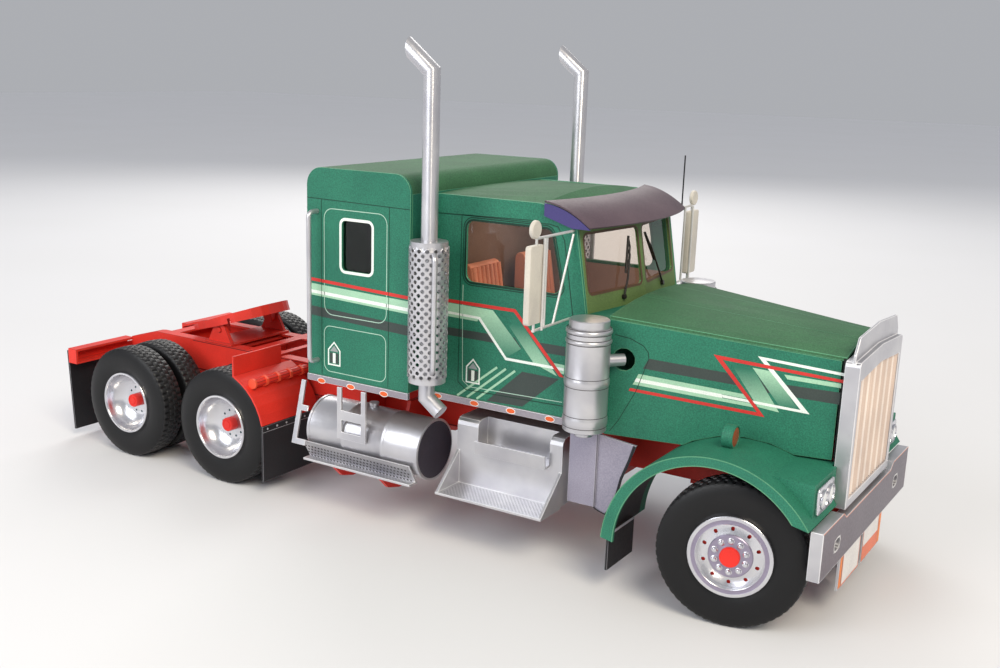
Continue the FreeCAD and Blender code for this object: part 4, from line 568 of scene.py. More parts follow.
silver_card = card("silver_card", (0.58, 0.58, 0.61), gloss=0.33, speckle=0.0, metal=0.8, bump=0.0,
                   shade=silver_ink)
silver_edge = card("silver_edge", (0.78, 0.78, 0.80), gloss=0.5, speckle=0.0, metal=0.3, bump=0.0)
drum = [(0.0, TANK_REAR + 0.25), (9.4, TANK_REAR + 0.2), (10.2, TANK_REAR), (SEAM_R, TANK_REAR + 0.2),
        (SEAM_R, TANK_REAR + 1.1), (TANK_R, TANK_REAR + 1.25)]
for x in (TANK_REAR + 15.0, TANK_FRONT - 16.0):
    drum += ridge(TANK_R, x, STRAP_OUT, STRAP_WIDE)
drum += [(TANK_R, TANK_FRONT - 1.25), (SEAM_R, TANK_FRONT - 1.1), (SEAM_R, TANK_FRONT - 0.2), (10.2, TANK_FRONT),
         (9.4, TANK_FRONT - 0.2), (8.9, TANK_FRONT - 0.5), (0.0, TANK_FRONT - 0.55)]
filler = lathe([(0.0, 9.8), (1.6, 9.8), (1.6, 11.2), (1.8, 11.3), (1.8, 11.95), (1.65, 12.1), (0.0, 12.1)], 28, "z")
tank = [moved(lathe(drum, 96, "x"), (0, TANK_Y, TANK_Z)), moved(filler, (TANK_REAR + 22, TANK_Y, TANK_Z))]
piece("tank_drums", tank, silver_card, ["fuel_tanks"], outward=True)
dress(["tank_saddles"], red_card, red_edge)
tank_end = lathe([(9.9, TANK_FRONT - 0.02), (8.7, TANK_FRONT - 0.45), (0.0, TANK_FRONT - 0.5)], 72, "x")
printed("tank_ends", [moved(tank_end, (0, TANK_Y, TANK_Z))], (0.045, 0.038, 0.055), gloss=0.42, metal=0.3,
        speckle=0.1)

# Steps and step boxes are cut from thicker silver card and stand on edge. Their treads are pressed with a
# pattern of small diamonds, and rows of round holes are printed along the toe of the tank's step.
TREAD_TOP, STEP_REAR, STEP_FRONT = 19.0, -101.0, -61.0
DIAMOND_UP, DIAMOND_PITCH, DIAMOND_HALF = 0.10, 1.3, 0.5
TOE_LOW, TOE_HIGH = (44.8, 18.2), (49.2, 25.6)
TOE_PITCH, TOE_EDGE = 1.45, 0.92


def diamonds(u0, u1, v0, v1, pitch_v, half_v):
    """Rows of small raised diamonds on a sheet from (u0, v0) to (u1, v1), each second row set half a step on.

    Each diamond is a low pyramid of four faces; returns points (u, v, height 0 to 1) and quads.
    """
    rows_v = np.arange(v0 + pitch_v, v1 - pitch_v / 2, pitch_v)
    rows_u = np.arange(u0 + DIAMOND_PITCH, u1 - DIAMOND_PITCH / 2, DIAMOND_PITCH)
    u, v = np.meshgrid(rows_u, rows_v, indexing="ij")
    u = u + (np.arange(len(rows_v)) % 2) * DIAMOND_PITCH / 2
    outline = np.array([(DIAMOND_HALF, 0), (0, half_v), (-DIAMOND_HALF, 0), (0, -half_v), (0, 0)])
    points = np.stack([u, v], axis=-1).reshape(-1, 1, 2) + outline
    height = np.broadcast_to(np.array([0, 0, 0, 0, 1.0]), points.shape[:2])
    one = np.array([[0, 1, 4, 4], [1, 2, 4, 4], [2, 3, 4, 4], [3, 0, 4, 4]])
    quads = (one[None] + 5 * np.arange(len(points))[:, None, None]).reshape(-1, 4)
    return np.concatenate([points, height[..., None]], axis=-1).reshape(-1, 3), quads


def laid(shape, origin, u_way, v_way, up):
    """Flat pattern (u, v, height) put in space by an origin and the vectors of u, v and height."""
    points, quads = shape
    placed = np.asarray(origin) + points @ np.array([u_way, v_way, up], float)
    turn_round = np.dot(np.cross(u_way, v_way), up) < 0
    return placed, (quads[:, ::-1] if turn_round else quads)


dress(["tank_steps", "step_boxes"], silver_card, silver_edge)
treads = [diamonds(TANK_REAR + 0.5, TANK_FRONT - 4, 45.6, 48.6, 0.75, 0.2),
          diamonds(STEP_REAR + 1.2, STEP_FRONT - 1.2, 36.4, 48.6, 0.8, 0.22)]
piece("tread_diamonds", [laid(s, (0, 0, TREAD_TOP), (1, 0, 0), (0, 1, 0), (0, 0, DIAMOND_UP)) for s in treads],
      card("fresh_silver", (0.33, 0.33, 0.36), gloss=0.35, metal=0.5))
toe_way = unit(np.array([0, TOE_HIGH[0] - TOE_LOW[0], TOE_HIGH[1] - TOE_LOW[1]]))
toe_out = np.array([0, toe_way[2], -toe_way[1]])
hole = lathe([(0.40, 0.0), (0.40, 0.03), (0.0, 0.03)], 12, "z")
dots = [laid(moved(hole, (x + on, v, 0)), (0, TOE_LOW[0] + TOE_EDGE, TOE_LOW[1]), (1, 0, 0), toe_way, toe_out)
        for v, on in ((1.8, 0.7), (3.4, 0.0), (5.0, 0.7), (6.6, 0.0))
        for x in np.arange(TANK_REAR + 0.6, TANK_FRONT - 3.2, TOE_PITCH)]
printed("toe_holes", dots, (0.045, 0.04, 0.05), gloss=0.6)

# Air cleaners are rolled cans of silver card with pressed rings, a raised lid, and a stub into the hood side
# through a hole with a black edge.
CLEANER_X, CLEANER_R, CLEANER_LOW, CLEANER_TOP = -51.0, 6.7, 48.7, 82.4
RINGS = ((1.7, 0.22, 3.2), (14.1, 0.25, 2.7), (27.4, 0.35, 1.3), (30.4, 0.4, 1.4))
LINE_UP = 0.22
ELBOW_X, ELBOW_Z, ELBOW_R = -43.0, 70.3, 1.9
CAB_Y = 34.5
CLEANER_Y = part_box("air_cleaners")[1][1] * 1000 - CLEANER_R - 0.4


def pipe(path, radius, sides=32, end=None, capped=True):
    """Round pipe along a path of straight stretches, mitred where they meet.

    A ring square to each stretch is slid along it onto the plane halfway between the two directions. End may be
    another plane direction for the last mouth.
    """
    path = np.asarray(path, float)
    legs = np.diff(path, axis=0)
    legs = legs / np.linalg.norm(legs, axis=1, keepdims=True)
    u = unit(np.cross(legs[0], (0.31, 0.83, 0.46)))
    angle = np.linspace(0, 2 * np.pi, sides, endpoint=False)[:, None]
    rings = []
    for i, place in enumerate(path):
        leg = legs[max(i - 1, 0)]
        plane = leg if i in (0, len(path) - 1) else leg + legs[i]
        if i == len(path) - 1 and end is not None:
            plane = np.asarray(end, float)
        ring = radius * (np.cos(angle) * u + np.sin(angle) * np.cross(leg, u))
        rings.append(place + ring - leg * ((ring @ plane) / (leg @ plane))[:, None])
        if 0 < i < len(legs):
            axis, c = np.cross(leg, legs[i]), leg @ legs[i]
            u = unit(u * c + np.cross(axis, u) + axis * (axis @ u) / (1 + c))
    if capped:
        rings = [np.repeat(path[:1], sides, 0)] + rings + [np.repeat(path[-1:], sides, 0)]
    return woven(np.array(rings), around=True)


def bent(path, reach, steps=5):
    """Path with its inner corners rounded: each is a curve between points a reach before and after it."""
    path = np.asarray(path, float)
    out = [path[:1]]
    t = np.linspace(0, 1, steps)[:, None]
    for before, corner, after in zip(path[:-2], path[1:-1], path[2:]):
        a, b = corner + unit(before - corner) * reach, corner + unit(after - corner) * reach
        out.append(a * (1 - t) ** 2 + corner * 2 * t * (1 - t) + b * t ** 2)
    return np.concatenate(out + [path[-1:]])


can = [(0.0, -2.0), (2.8, -2.0), (3.0, -1.8), (3.0, 0.05), (CLEANER_R - 0.25, 0.0), (CLEANER_R, 0.25)]
for low, out, height in RINGS:
    can += ridge(CLEANER_R, low, out, height)
top = CLEANER_TOP - CLEANER_LOW
can += [(6.3, top - 1.8), (6.15, top - 1.7), (6.15, top + 0.6), (5.9, top + 0.85), (4.0, top + 0.98),
        (0.0, top + 1.0)]
cleaner = [moved(lathe(can, 80, "z"), (CLEANER_X, CLEANER_Y, CLEANER_LOW)),
           pipe([(CLEANER_X + 2.0, CLEANER_Y - 1.0, ELBOW_Z), (ELBOW_X, CAB_Y - 0.9, ELBOW_Z)], ELBOW_R)]
# Painted shade: thin dark rings are printed just below and just above each pressed ring, where its edges would shade
# the can.
shade_ring = lathe([(CLEANER_R + 0.03, 0.0), (CLEANER_R + 0.03, LINE_UP)], 80, "z")
lines = [moved(shade_ring, (CLEANER_X, CLEANER_Y, CLEANER_LOW + z))
         for low, _, height in RINGS for z in (low - 0.2, low + height)]
printed("cleaner_ring_shade", lines, (0.09, 0.085, 0.09), gloss=0.5)
piece("air_cleaner_cans", cleaner, silver_card, ["air_cleaners"], outward=True)

# Exhaust stacks are thin rolled tubes with a mitred tip, open at the top. Each one passes through a shield of
# card that is pierced all over with round holes and carries a grip bar.
STACK_X, STACK_Y, STACK_R, STACK_FOOT_Z, STACK_BEND_Z = -105.3, 48.4, 2.65, 50.5, 153.6
TIP_RUN, TIP_LEAN, TIP_DEPTH, STACK_WALL, STACK_SIDES = 8.4, math.radians(51.3), 0.35, 0.45, 48
SHIELD_R, SHIELD_LOW, SHIELD_TOP, LID = 6.1, 56.0, 101.8, 0.5
HOLE_R, CELL_HALF, ROW_STEP, HOLES_ROUND, POINTS_A_SIDE = 0.64, 1.2775, 1.4, 15, 3
GRIP_WAY, GRIP_R = np.array((0.76, 0.65, 0.0)), 0.85


def wrapped(points, radius):
    """Flat points (length round, height) rolled to a radius about the stack's axis."""
    angle = points[..., 0] * 2 * np.pi / (HOLES_ROUND * 2 * CELL_HALF)
    return np.stack([STACK_X + radius * np.cos(angle), STACK_Y + radius * np.sin(angle), points[..., 1]], axis=-1)


bend = np.array((STACK_X, STACK_Y, STACK_BEND_Z))
tip = bend + (-TIP_RUN, 0, TIP_RUN / math.tan(TIP_LEAN))
floor_at = bend + (tip - bend) * TIP_DEPTH
foot = np.array((STACK_X, STACK_Y, STACK_FOOT_Z))
outer = pipe([foot + (5.7, 0, -4.1), foot, bend, tip], STACK_R, STACK_SIDES, (-1, 0, 0), False)
inner = pipe([floor_at, tip], STACK_R - STACK_WALL, STACK_SIDES, (-1, 0, 0), False)
stack = [outer, inner]
for one, other in ((outer[0][-STACK_SIDES:], inner[0][-STACK_SIDES:]),
                   (inner[0][:STACK_SIDES], np.repeat([floor_at], STACK_SIDES, 0)),
                   (outer[0][:STACK_SIDES], np.repeat([foot + (5.2, 0, -3.75)], STACK_SIDES, 0))):
    stack.append(woven(np.stack([one, other]), around=True))
piece("stack_pipes", stack, silver_card, ["exhaust_stacks"], outward=True)

rows_up = int((SHIELD_TOP - SHIELD_LOW - 4.2) / ROW_STEP)
lowest = SHIELD_LOW + (SHIELD_TOP - SHIELD_LOW - rows_up * ROW_STEP) / 2
centres = [(2 * CELL_HALF * (j + 0.5 * (k % 2)), lowest + ROW_STEP * k)
           for k in range(rows_up + 1) for j in range(HOLES_ROUND)]
flat, cells = pierced(centres, [(CELL_HALF, 0), (0, ROW_STEP), (-CELL_HALF, 0), (0, -ROW_STEP)], HOLE_R,
                      POINTS_A_SIDE)
zig = np.arange(HOLES_ROUND * 2 * POINTS_A_SIDE + 1) / (2 * POINTS_A_SIDE)
swing = ROW_STEP * (1 - np.abs((zig % 1.0) * 2 - 1))
low_line = np.stack([zig * 2 * CELL_HALF, lowest - ROW_STEP + swing], axis=-1)
high_line = np.stack([(zig + 0.5 * (rows_up % 2)) * 2 * CELL_HALF, lowest + ROW_STEP * (rows_up + 1) - swing],
                     axis=-1)
under, over = low_line * (1, 0) + (0, SHIELD_LOW), high_line * (1, 0) + (0, SHIELD_TOP)
sheet = [(wrapped(flat, SHIELD_R), cells)] + [woven(wrapped(np.stack(pair), SHIELD_R))
                                              for pair in ((under, low_line), (high_line, over))]
pierced_silver = card("pierced_silver", (0.66, 0.66, 0.68), gloss=0.33, speckle=0.0, metal=0.8, bump=0.0,
                      shade=silver_ink)
piece("shield_sheets", sheet, pierced_silver, ["heat_shields"], wall=0.35)
lid = lathe([(STACK_R, 0.0), (SHIELD_R - 0.02, 0.0), (SHIELD_R - 0.02, LID), (STACK_R, LID), (STACK_R, 0.0)], 60, "z")
lids = [moved(lid, (STACK_X, STACK_Y, z)) for z in (SHIELD_LOW + 0.02, SHIELD_TOP - 0.02 - LID)]
near, far = (np.array((STACK_X, STACK_Y, 0.0)) + GRIP_WAY * (SHIELD_R + out) for out in (-0.3, 1.4))
grip = pipe(bent([near + (0, 0, SHIELD_LOW + 4), far + (0, 0, SHIELD_LOW + 5.5), far + (0, 0, SHIELD_TOP - 4.9),
                  near + (0, 0, SHIELD_TOP - 3.4)], 0.9), GRIP_R, 20)
clamps = [bar((-112.96, STACK_Y - 4.0, z), (STACK_X - SHIELD_R + 0.6, STACK_Y - 1.6, z + 2.0))
          for z in (SHIELD_LOW + 1.0, SHIELD_TOP - 4.0)]
piece("shield_fittings", lids + [grip] + clamps, silver_card, outward=True)

# Mirrors are cream card plates in a frame of thin silver bars that a long brace holds to the cab, each with a
# round one on top. The antenna on the left side and the tall grab rails on the sleeper are wire.
MIRROR_X, MIRROR_Y, MIRROR_LOW, MIRROR_HIGH = -61.6, 57.0, 80.6, 107.8
ROUND_Y, ROUND_Z = MIRROR_Y + 1.0, MIRROR_HIGH + 2.7
ANTENNA_Y, ANTENNA_TOP = 47.5, 126.4
RAIL_X, RAIL_FOOT, RAIL_OUT, RAIL_LOW, RAIL_TOP = -151.5, 48.02, 52.4, 55.9, 107.1


def rounded(x0, x1, z0, z1, r, count=6, lean=0.0):
    """Closed outline with rounded corners, the top front one first; r may be four radii, lean moves the first."""
    radii = np.broadcast_to(np.asarray(r, float), 4)
    a, b, c, d = radii
    t = np.linspace(0, np.pi / 2, count)
    middles = ((x1 - a + lean, z1 - a), (x0 + b, z1 - b), (x0 + c, z0 + c), (x1 - d, z0 + d))
    return np.concatenate([middle + far * np.stack([np.cos(t + k * np.pi / 2), np.sin(t + k * np.pi / 2)], axis=-1)
                           for k, (middle, far) in enumerate(zip(middles, radii))])


def rounded_plate(y0, y1, z0, z1, x0, x1, r, edge=0.25):
    """Plate across the vehicle with rounded corners: its outline is carried from face to face over a soft edge."""
    ring = rounded(y0, y1, z0, z1, r)
    middle = np.array([(y0 + y1) / 2, (z0 + z1) / 2])
    size = np.array([y1 - y0, z1 - z0]) / 2
    rows = []
    for x, shrink in ((x0, size), (x0, edge), (x0 + edge * 0.3, edge * 0.3), (x0 + edge, 0.0), (x1 - edge, 0.0),
                      (x1 - edge * 0.3, edge * 0.3), (x1, edge), (x1, size)):
        flat_ring = middle + (ring - middle) * (1 - shrink / size)
        rows.append(np.concatenate([np.full((len(ring), 1), x), flat_ring], axis=1))
    return woven(np.array(rows), around=True)


cream_card = card("cream_card", (0.60, 0.56, 0.49), gloss=0.4, speckle=0.12)
frame_y = CAB_Y + 0.05
rods = [pipe([(MIRROR_X + x, y0, z0), (MIRROR_X + x, y1, z1)], r, 16) for x, y0, z0, y1, z1, r in (
    (0, frame_y, MIRROR_LOW, MIRROR_Y + 0.4, MIRROR_LOW, 0.42),
    (0, frame_y, MIRROR_HIGH, MIRROR_Y + 0.4, MIRROR_HIGH, 0.42),
    (1.4, MIRROR_Y - 2.4, MIRROR_LOW, MIRROR_Y - 2.4, MIRROR_HIGH, 0.42),
    (0, MIRROR_Y - 6.1, MIRROR_LOW, MIRROR_Y - 6.1, MIRROR_HIGH, 0.42),
    (0, MIRROR_Y, MIRROR_LOW - 0.4, MIRROR_Y, MIRROR_HIGH + 2.4, 0.42),
    (0, frame_y, MIRROR_HIGH - 1, CAB_Y + 10.8, MIRROR_LOW, 0.38))]
pale_silver = card("pale_silver", (0.70, 0.69, 0.67), gloss=0.35, speckle=0.2, metal=0.5)
piece("mirror_rods", rods, pale_silver, ["mirrors"], outward=True)
plates = [rounded_plate(MIRROR_Y - 3.1, MIRROR_Y + 4.7, MIRROR_LOW + 2.2, MIRROR_HIGH - 1.8, MIRROR_X - 1.0,
                        MIRROR_X + 1.0, 0.9),
          moved(lathe([(0.0, 0.7), (2.4, 0.7), (2.7, 0.4), (2.7, -0.4), (2.4, -0.7), (0.0, -0.7)], 40, "x"),
                (MIRROR_X, ROUND_Y, ROUND_Z))]
piece("mirror_plates", plates, cream_card, outward=True)
glass_silver = card("glass_silver", (0.72, 0.75, 0.78), gloss=0.08, speckle=0.02, metal=0.95, bump=0.0)
glasses = [rounded_plate(MIRROR_Y - 2.5, MIRROR_Y + 4.1, MIRROR_LOW + 2.9, MIRROR_HIGH - 2.5, MIRROR_X - 1.03,
                         MIRROR_X - 0.97, 0.6, 0.01),
           moved(lathe([(0.0, 0.03), (2.1, 0.03), (2.1, -0.03), (0.0, -0.03)], 40, "x"),
                 (MIRROR_X - 0.7, ROUND_Y, ROUND_Z))]
piece("mirror_glass", glasses, glass_silver, outward=True)
wire = [pipe([(MIRROR_X, ANTENNA_Y, low), (MIRROR_X, ANTENNA_Y, high)], r, 12)
        for low, high, r in ((MIRROR_HIGH + 0.45, ANTENNA_TOP, 0.26), (MIRROR_HIGH + 0.42, MIRROR_HIGH + 2.4, 0.3))]
piece("antenna_wire", wire, black_card, ["antenna"], both=False, outward=True)
rail = pipe(bent([(RAIL_X, RAIL_FOOT, RAIL_TOP), (RAIL_X, RAIL_OUT, RAIL_TOP), (RAIL_X, RAIL_OUT, RAIL_LOW),
                  (RAIL_X, RAIL_FOOT, RAIL_LOW)], 2.2, 7), 0.82, 24)
piece("grab_rail_wires", [rail], silver_card, ["grab_rails"], outward=True)

# The visor is one sheet of plum card rolled over a bowed front edge and glued above the windscreen. A violet
# crescent of card closes each end.
VISOR_Y, VISOR_REAR, VISOR_TIP = 35.7, (-71.5, 115.7), (-55.6, 108.9)
VISOR_BOW, VISOR_BULGE, VISOR_DROP = 5.8, 1.4, 4.2


def plum_ink(tree, place):
    """Plum ink with soft darker clouds."""
    cloud = noise_in(tree, place, 55, 2.0)
    return mixed(tree, ranged(tree, cloud, 0.3, 0.7), (0.085, 0.055, 0.072, 1), (0.115, 0.078, 0.095, 1))


def closed_tube(rows, ends=((0, 1, 2, 3),)):
    """Closed body: points (k, j) run round it with k and along it with j; its two ends are flat faces."""
    return [woven(rows, along=True)] + [(rows[:, j], np.array(ends)) for j in (0, -1)]


s = np.linspace(0, 1, 17)[:, None]
w = np.linspace(-1, 1, 49)[None, :]
edge_x = VISOR_REAR[0] + (VISOR_TIP[0] - VISOR_REAR[0]) * s
edge_z = VISOR_REAR[1] + (VISOR_TIP[1] - VISOR_REAR[1]) * s + 4 * VISOR_BULGE * s * (1 - s)
sheet = woven(np.stack([edge_x + VISOR_BOW * (1 - w * w), VISOR_Y * w + 0 * s, edge_z + 0 * w], axis=-1))
plum_card = card("plum_card", (0.10, 0.067, 0.084), gloss=0.5, speckle=0.35, shade=plum_ink)
piece("visor_sheet", [sheet], plum_card, ["visor"], both=False, wall=0.5)
top_z = edge_z - 0.3
under_z = VISOR_REAR[1] - VISOR_DROP + (VISOR_TIP[1] - 0.4 - VISOR_REAR[1] + VISOR_DROP) * np.clip(s / 0.62, 0, 1)
under_z = np.minimum(under_z, top_z - 0.05)
near, far = VISOR_Y - 0.55, VISOR_Y - 0.02
rows = np.stack([np.hstack([edge_x, y + 0 * s, z])
                 for y, z in ((near, top_z), (far, top_z), (far, under_z), (near, under_z))])
violet_card = card("violet_card", (0.055, 0.045, 0.17), gloss=0.5, speckle=0.25)
piece("visor_ends", closed_tube(rows), violet_card, outward=True)

# Cab and sleeper are boxes folded from green card. Their sheets are cut with a blade, so that the edges show a
# thin pale line, and the print has soft clouds and a fine speckle. The sleeper's roof is bent over its walls.
SLEEPER_REAR, SLEEPER_FRONT, SLEEPER_Y = -156.0, -113.0, 48.0
SLEEPER_LOW, SLEEPER_TOP, SLEEPER_CORNER, SLEEPER_CARD = 50.4, 121.7, 6.0, 1.0
ROOF_Y = 46.97


def green_ink(tree, place):
    """Green ink with soft patches that lean to a bluer and to a warmer green."""
    patch = noise_in(tree, place, 16, 3.0)
    return mixed(tree, ranged(tree, patch, 0.35, 0.65), (0.018, 0.158, 0.100, 1), (0.026, 0.182, 0.112, 1))


def at_y(line_xz, y):
    """Line (x, z) put at a width, which may differ from point to point."""
    return np.stack([line_xz[:, 0], y + 0 * line_xz[:, 0], line_xz[:, 1]], axis=-1)


green_card = card("green_card", (0.022, 0.17, 0.105), gloss=0.58, speckle=0.8, shade=green_ink)
green_edge = card("green_edge", (0.10, 0.30, 0.17), gloss=0.6, speckle=0.4)
# Painted shade: the cab roof, the sleeper top and the hood top use a darker, more olive copy of the same green, for
# the way light falls on the top faces.
shaded_top_green = card("shaded_top_green", (0.040, 0.135, 0.062), gloss=0.72, speckle=0.8)
dress(["cab_sides", "cowl", "sleeper_back", "sleeper_front"], green_card, green_edge, 0.16)
dress(["cab_roof"], shaded_top_green, green_edge, 0.16)
outline = rounded(SLEEPER_REAR, SLEEPER_FRONT, SLEEPER_LOW, SLEEPER_TOP,
                  (SLEEPER_CORNER, SLEEPER_CORNER, 0.1, 0.1), 9)
hole = rounded(-141.0, -128.5, 88.2, 104.9, 1.5, 9)
inside_y = SLEEPER_Y - SLEEPER_CARD
wall = woven(np.stack([at_y(outline, SLEEPER_Y), at_y(hole, SLEEPER_Y), at_y(hole, inside_y),
                       at_y(outline, inside_y)]), around=True, along=True)
cut_edges(piece("sleeper_walls", [wall], green_card, ["sleeper_sides"], outward=True), green_edge)
t = np.linspace(0, np.pi / 2, 13)
bend_out = np.stack([np.cos(t), np.sin(t)], axis=-1)
front_bend = np.array((SLEEPER_FRONT - SLEEPER_CORNER, SLEEPER_TOP - SLEEPER_CORNER))
rear_bend = np.array((SLEEPER_REAR + SLEEPER_CORNER, SLEEPER_TOP - SLEEPER_CORNER))
over_top, under_top = (np.concatenate([[front_bend + (r, 0)], front_bend + r * bend_out,
                                       rear_bend + r * bend_out[::-1] * (-1, 1), [rear_bend - (r, 0)]])
                       for r in (SLEEPER_CORNER, SLEEPER_CORNER - SLEEPER_CARD))
roof = np.stack([at_y(over_top, -ROOF_Y), at_y(over_top, ROOF_Y), at_y(under_top, ROOF_Y), at_y(under_top, -ROOF_Y)])
# The sleeper top is in the darker olive copy of the green: painted shade for a top face.
piece("sleeper_top", closed_tube(roof), shaded_top_green, ["sleeper_roof"], both=False, outward=True)

# Stripes, outlines and latches are printed on the card: a red line over a mint band with a white middle and a
# charcoal band below, which break down and up again in fading slants on the cab door and on the hood.
LIFT = 0.04
HOOD_SLOPE, HOOD_REAR_X = 0.19146, -47.9
MINT, GREEN = (0.36, 0.60, 0.42), (0.022, 0.17, 0.105)
INKS = {"charcoal_line": ((0.045, 0.06, 0.055), 0.02), "mint_line": (MINT, 0.03),
        "white_line": ((0.80, 0.86, 0.80), 0.05), "red_line": ((0.60, 0.035, 0.03), 0.06),
        "seam_line": ((0.006, 0.035, 0.022), 0.07), "grey_mark": ((0.30, 0.33, 0.33), 0.05),
        "pale_line": ((0.42, 0.62, 0.50), 0.05)}
marks = {ink: [] for ink in INKS}


def hood_y(x):
    """Half width of the hood at a place along it."""
    return CAB_Y - HOOD_SLOPE * (x - HOOD_REAR_X)


def ribbon(upper, lower):
    """Flat band between two lines of the same number of points."""
    return np.stack([np.asarray(upper, float), np.asarray(lower, float)])


def stroke(path, width, closed=False):
    """Flat line of a width along a path, mitred at its corners."""
    path = np.asarray(path, float)
    line = np.concatenate([path[-1:], path, path[:2]]) if closed else path
    leg = np.diff(line, axis=0)
    leg = leg / np.linalg.norm(leg, axis=1, keepdims=True)
    side = np.stack([-leg[:, 1], leg[:, 0]], axis=-1)
    mitre, ends, cut = side[:-1] + side[1:], line[1:-1], side[1:]
    if not closed:
        mitre = np.concatenate([side[:1], mitre, side[-1:]])
        ends, cut = line, np.concatenate([side, side[-1:]])
    mitre = mitre / np.sum(mitre * cut, axis=1, keepdims=True) * width / 2
    return np.stack([ends + mitre, ends - mitre])


def facing_way(points, quads, first, second, sign):
    """Quads turned round if their area in the plane of two axes has the wrong sign."""
    p, q = points[quads[:, 2]] - points[quads[:, 0]], points[quads[:, 3]] - points[quads[:, 1]]
    area = np.sum(p[:, first] * q[:, second] - p[:, second] * q[:, first])
    return points, (quads[:, ::-1] if area * sign < 0 else quads)


def on_side(grid, y, lift=LIFT):
    """Flat band (x, z) laid on the left side, with y a number or a function of x; faces look outwards."""
    x, z = grid[..., 0], grid[..., 1]
    face_y = (y(x) if callable(y) else y + 0 * x) + lift
    return facing_way(*woven(np.stack([x, face_y, z], axis=-1)), 0, 2, -1)


def band(ink, y, upper, lower):
    """Adds one printed band to its ink."""
    marks[ink].append(on_side(ribbon(upper, lower), y, INKS[ink][1]))


def line(ink, y, path, width, closed=False):
    """Adds one printed line to its ink."""
    marks[ink].append(on_side(stroke(path, width, closed), y, INKS[ink][1]))


def fading(z0, z1, low, high):
    """Ink that goes from one colour at a height to another one above it, in the object's own Z."""
    def shade(tree, place):
        """Mix of the two colours by the height of the place."""
        height = node_in(tree, "SeparateXYZ", {0: place}).outputs["Z"]
        return mixed(tree, ranged(tree, height, z0 / 1000, z1 / 1000), low + (1,), high + (1,))
    return shade


rear, front = SLEEPER_REAR + 0.1, SLEEPER_FRONT - 0.1
for ink, rear_z, front_z in (("red_line", (84.4, 83.3), (82.9, 81.8)), ("mint_line", (82.4, 80.2), (81.2, 79.0)),
                             ("white_line", (80.2, 79.1), (79.0, 77.8)), ("mint_line", (79.1, 78.4), (77.8, 77.0)),
                             ("charcoal_line", (74.6, 71.4), (73.1, 69.8))):
    band(ink, SLEEPER_Y, *([(rear, a), (front, b)] for a, b in zip(rear_z, front_z)))
line("pale_line", SLEEPER_Y, rounded(-148.65, -122.3, 52.45, 68.4, 2.6), 0.26, True)
line("pale_line", SLEEPER_Y, rounded(-148.5, -122.2, 72.4, 108.4, 3.4), 0.26, True)
for path in ([(-149.7, 51.0), (-149.7, 111.2)], [(-121.3, 51.0), (-121.3, 110.9)], [(rear, 111.4), (front, 110.8)]):
    line("seam_line", SLEEPER_Y, path, 0.2)
line("white_line", SLEEPER_Y, rounded(-141.5, -128.0, 87.7, 105.4, 2.0), 0.95, True)

for ink, upper, lower in (
        ("red_line", [(-112.9, 80.9), (-81.1, 80.9), (-62.6, 61.5)], [(-112.9, 79.8), (-81.6, 79.8), (-64.2, 61.5)]),
        ("mint_line", [(-112.9, 79.7), (-94.6, 79.5), (-89.5, 79.4)], [(-112.9, 76.9), (-94.6, 76.3), (-93.4, 75.0)]),
        ("white_line", [(-112.9, 76.95), (-94.3, 76.5), (-83.8, 64.6), (-62.8, 64.5)],
         [(-112.9, 76.1), (-94.9, 75.7), (-84.2, 63.7), (-62.8, 63.6)]),
        ("mint_line", [(-112.9, 76.1), (-95.0, 75.7)], [(-112.9, 75.2), (-95.3, 74.9)]),
        ("charcoal_line", [(-112.9, 71.4), (-90.8, 71.4)], [(-112.9, 68.7), (-88.4, 68.7)]),
        ("charcoal_line", [(-81.9, 71.6), (-81.1, 71.6)], [(-79.1, 68.4), (-78.3, 68.4)]),
        ("charcoal_line", [(-72.6, 71.4), (-62.6, 71.4)], [(-69.6, 68.4), (-62.6, 68.4)]),
        ("mint_line", [(-66.8, 65.6), (-62.6, 65.5)], [(-63.8, 62.6), (-62.6, 62.5)]),
        ("charcoal_line", [(-77.8, 60.9), (-64.3, 60.7)], [(-90.9, 48.8), (-77.3, 49.3)])):
    band(ink, CAB_Y, upper, lower)
for low, high in (((-102.5, 48.6), (-87.2, 60.8)), ((-98.6, 48.7), (-83.9, 60.8)), ((-94.8, 48.8), (-80.4, 60.7))):
    line("mint_line", CAB_Y, [low, high], 0.75)
line("pale_line", CAB_Y, [(-101.2, 86.3), (-101.2, 77.6), (-100.5, 54.2), (-97.9, 52.4), (-87.7, 52.7),
                          (-73.0, 53.1), (-62.8, 53.4)], 0.24)
line("seam_line", CAB_Y, [(-102.3, 109.0), (-102.3, 53.4), (-99.0, 51.2), (-87.7, 51.5), (-62.0, 52.2),
                          (-60.6, 54.0), (-60.6, 82.0), (-64.6, 104.5), (-67.0, 108.4), (-70.0, 109.0),
                          (-102.3, 109.0)], 0.26)
line("seam_line", CAB_Y, rounded(-101.4, -64.0, 86.5, 108.5, 3.4, lean=-3.7), 0.3, True)
line("seam_line", CAB_Y, rounded(-100.6, -64.8, 87.3, 107.7, 2.8, lean=-3.6), 0.7, True)
line("seam_line", CAB_Y, [(-112.8, 108.8), (-76.0, 109.6)], 0.25)

for x, z, y in ((-146.8, 55.0, SLEEPER_Y), (-99.0, 54.0, CAB_Y)):
    latch = np.array((x, z))
    line("white_line", y, latch + [(0, 0), (5.0, 0), (5.0, 5.2), (2.5, 7.9), (0, 5.2)], 0.5, True)
    band("grey_mark", y, latch + [(0.8, 4.9), (2.5, 6.8), (4.2, 4.9)], latch + [(0.8, 4.7), (2.5, 4.7), (4.2, 4.7)])
    for left, ink in ((0.6, "charcoal_line"), (1.9, "white_line"), (3.2, "charcoal_line")):
        band(ink, y, latch + [(left, 4.2), (left + 1.2, 4.2)], latch + [(left, 0.6), (left + 1.2, 0.6)])

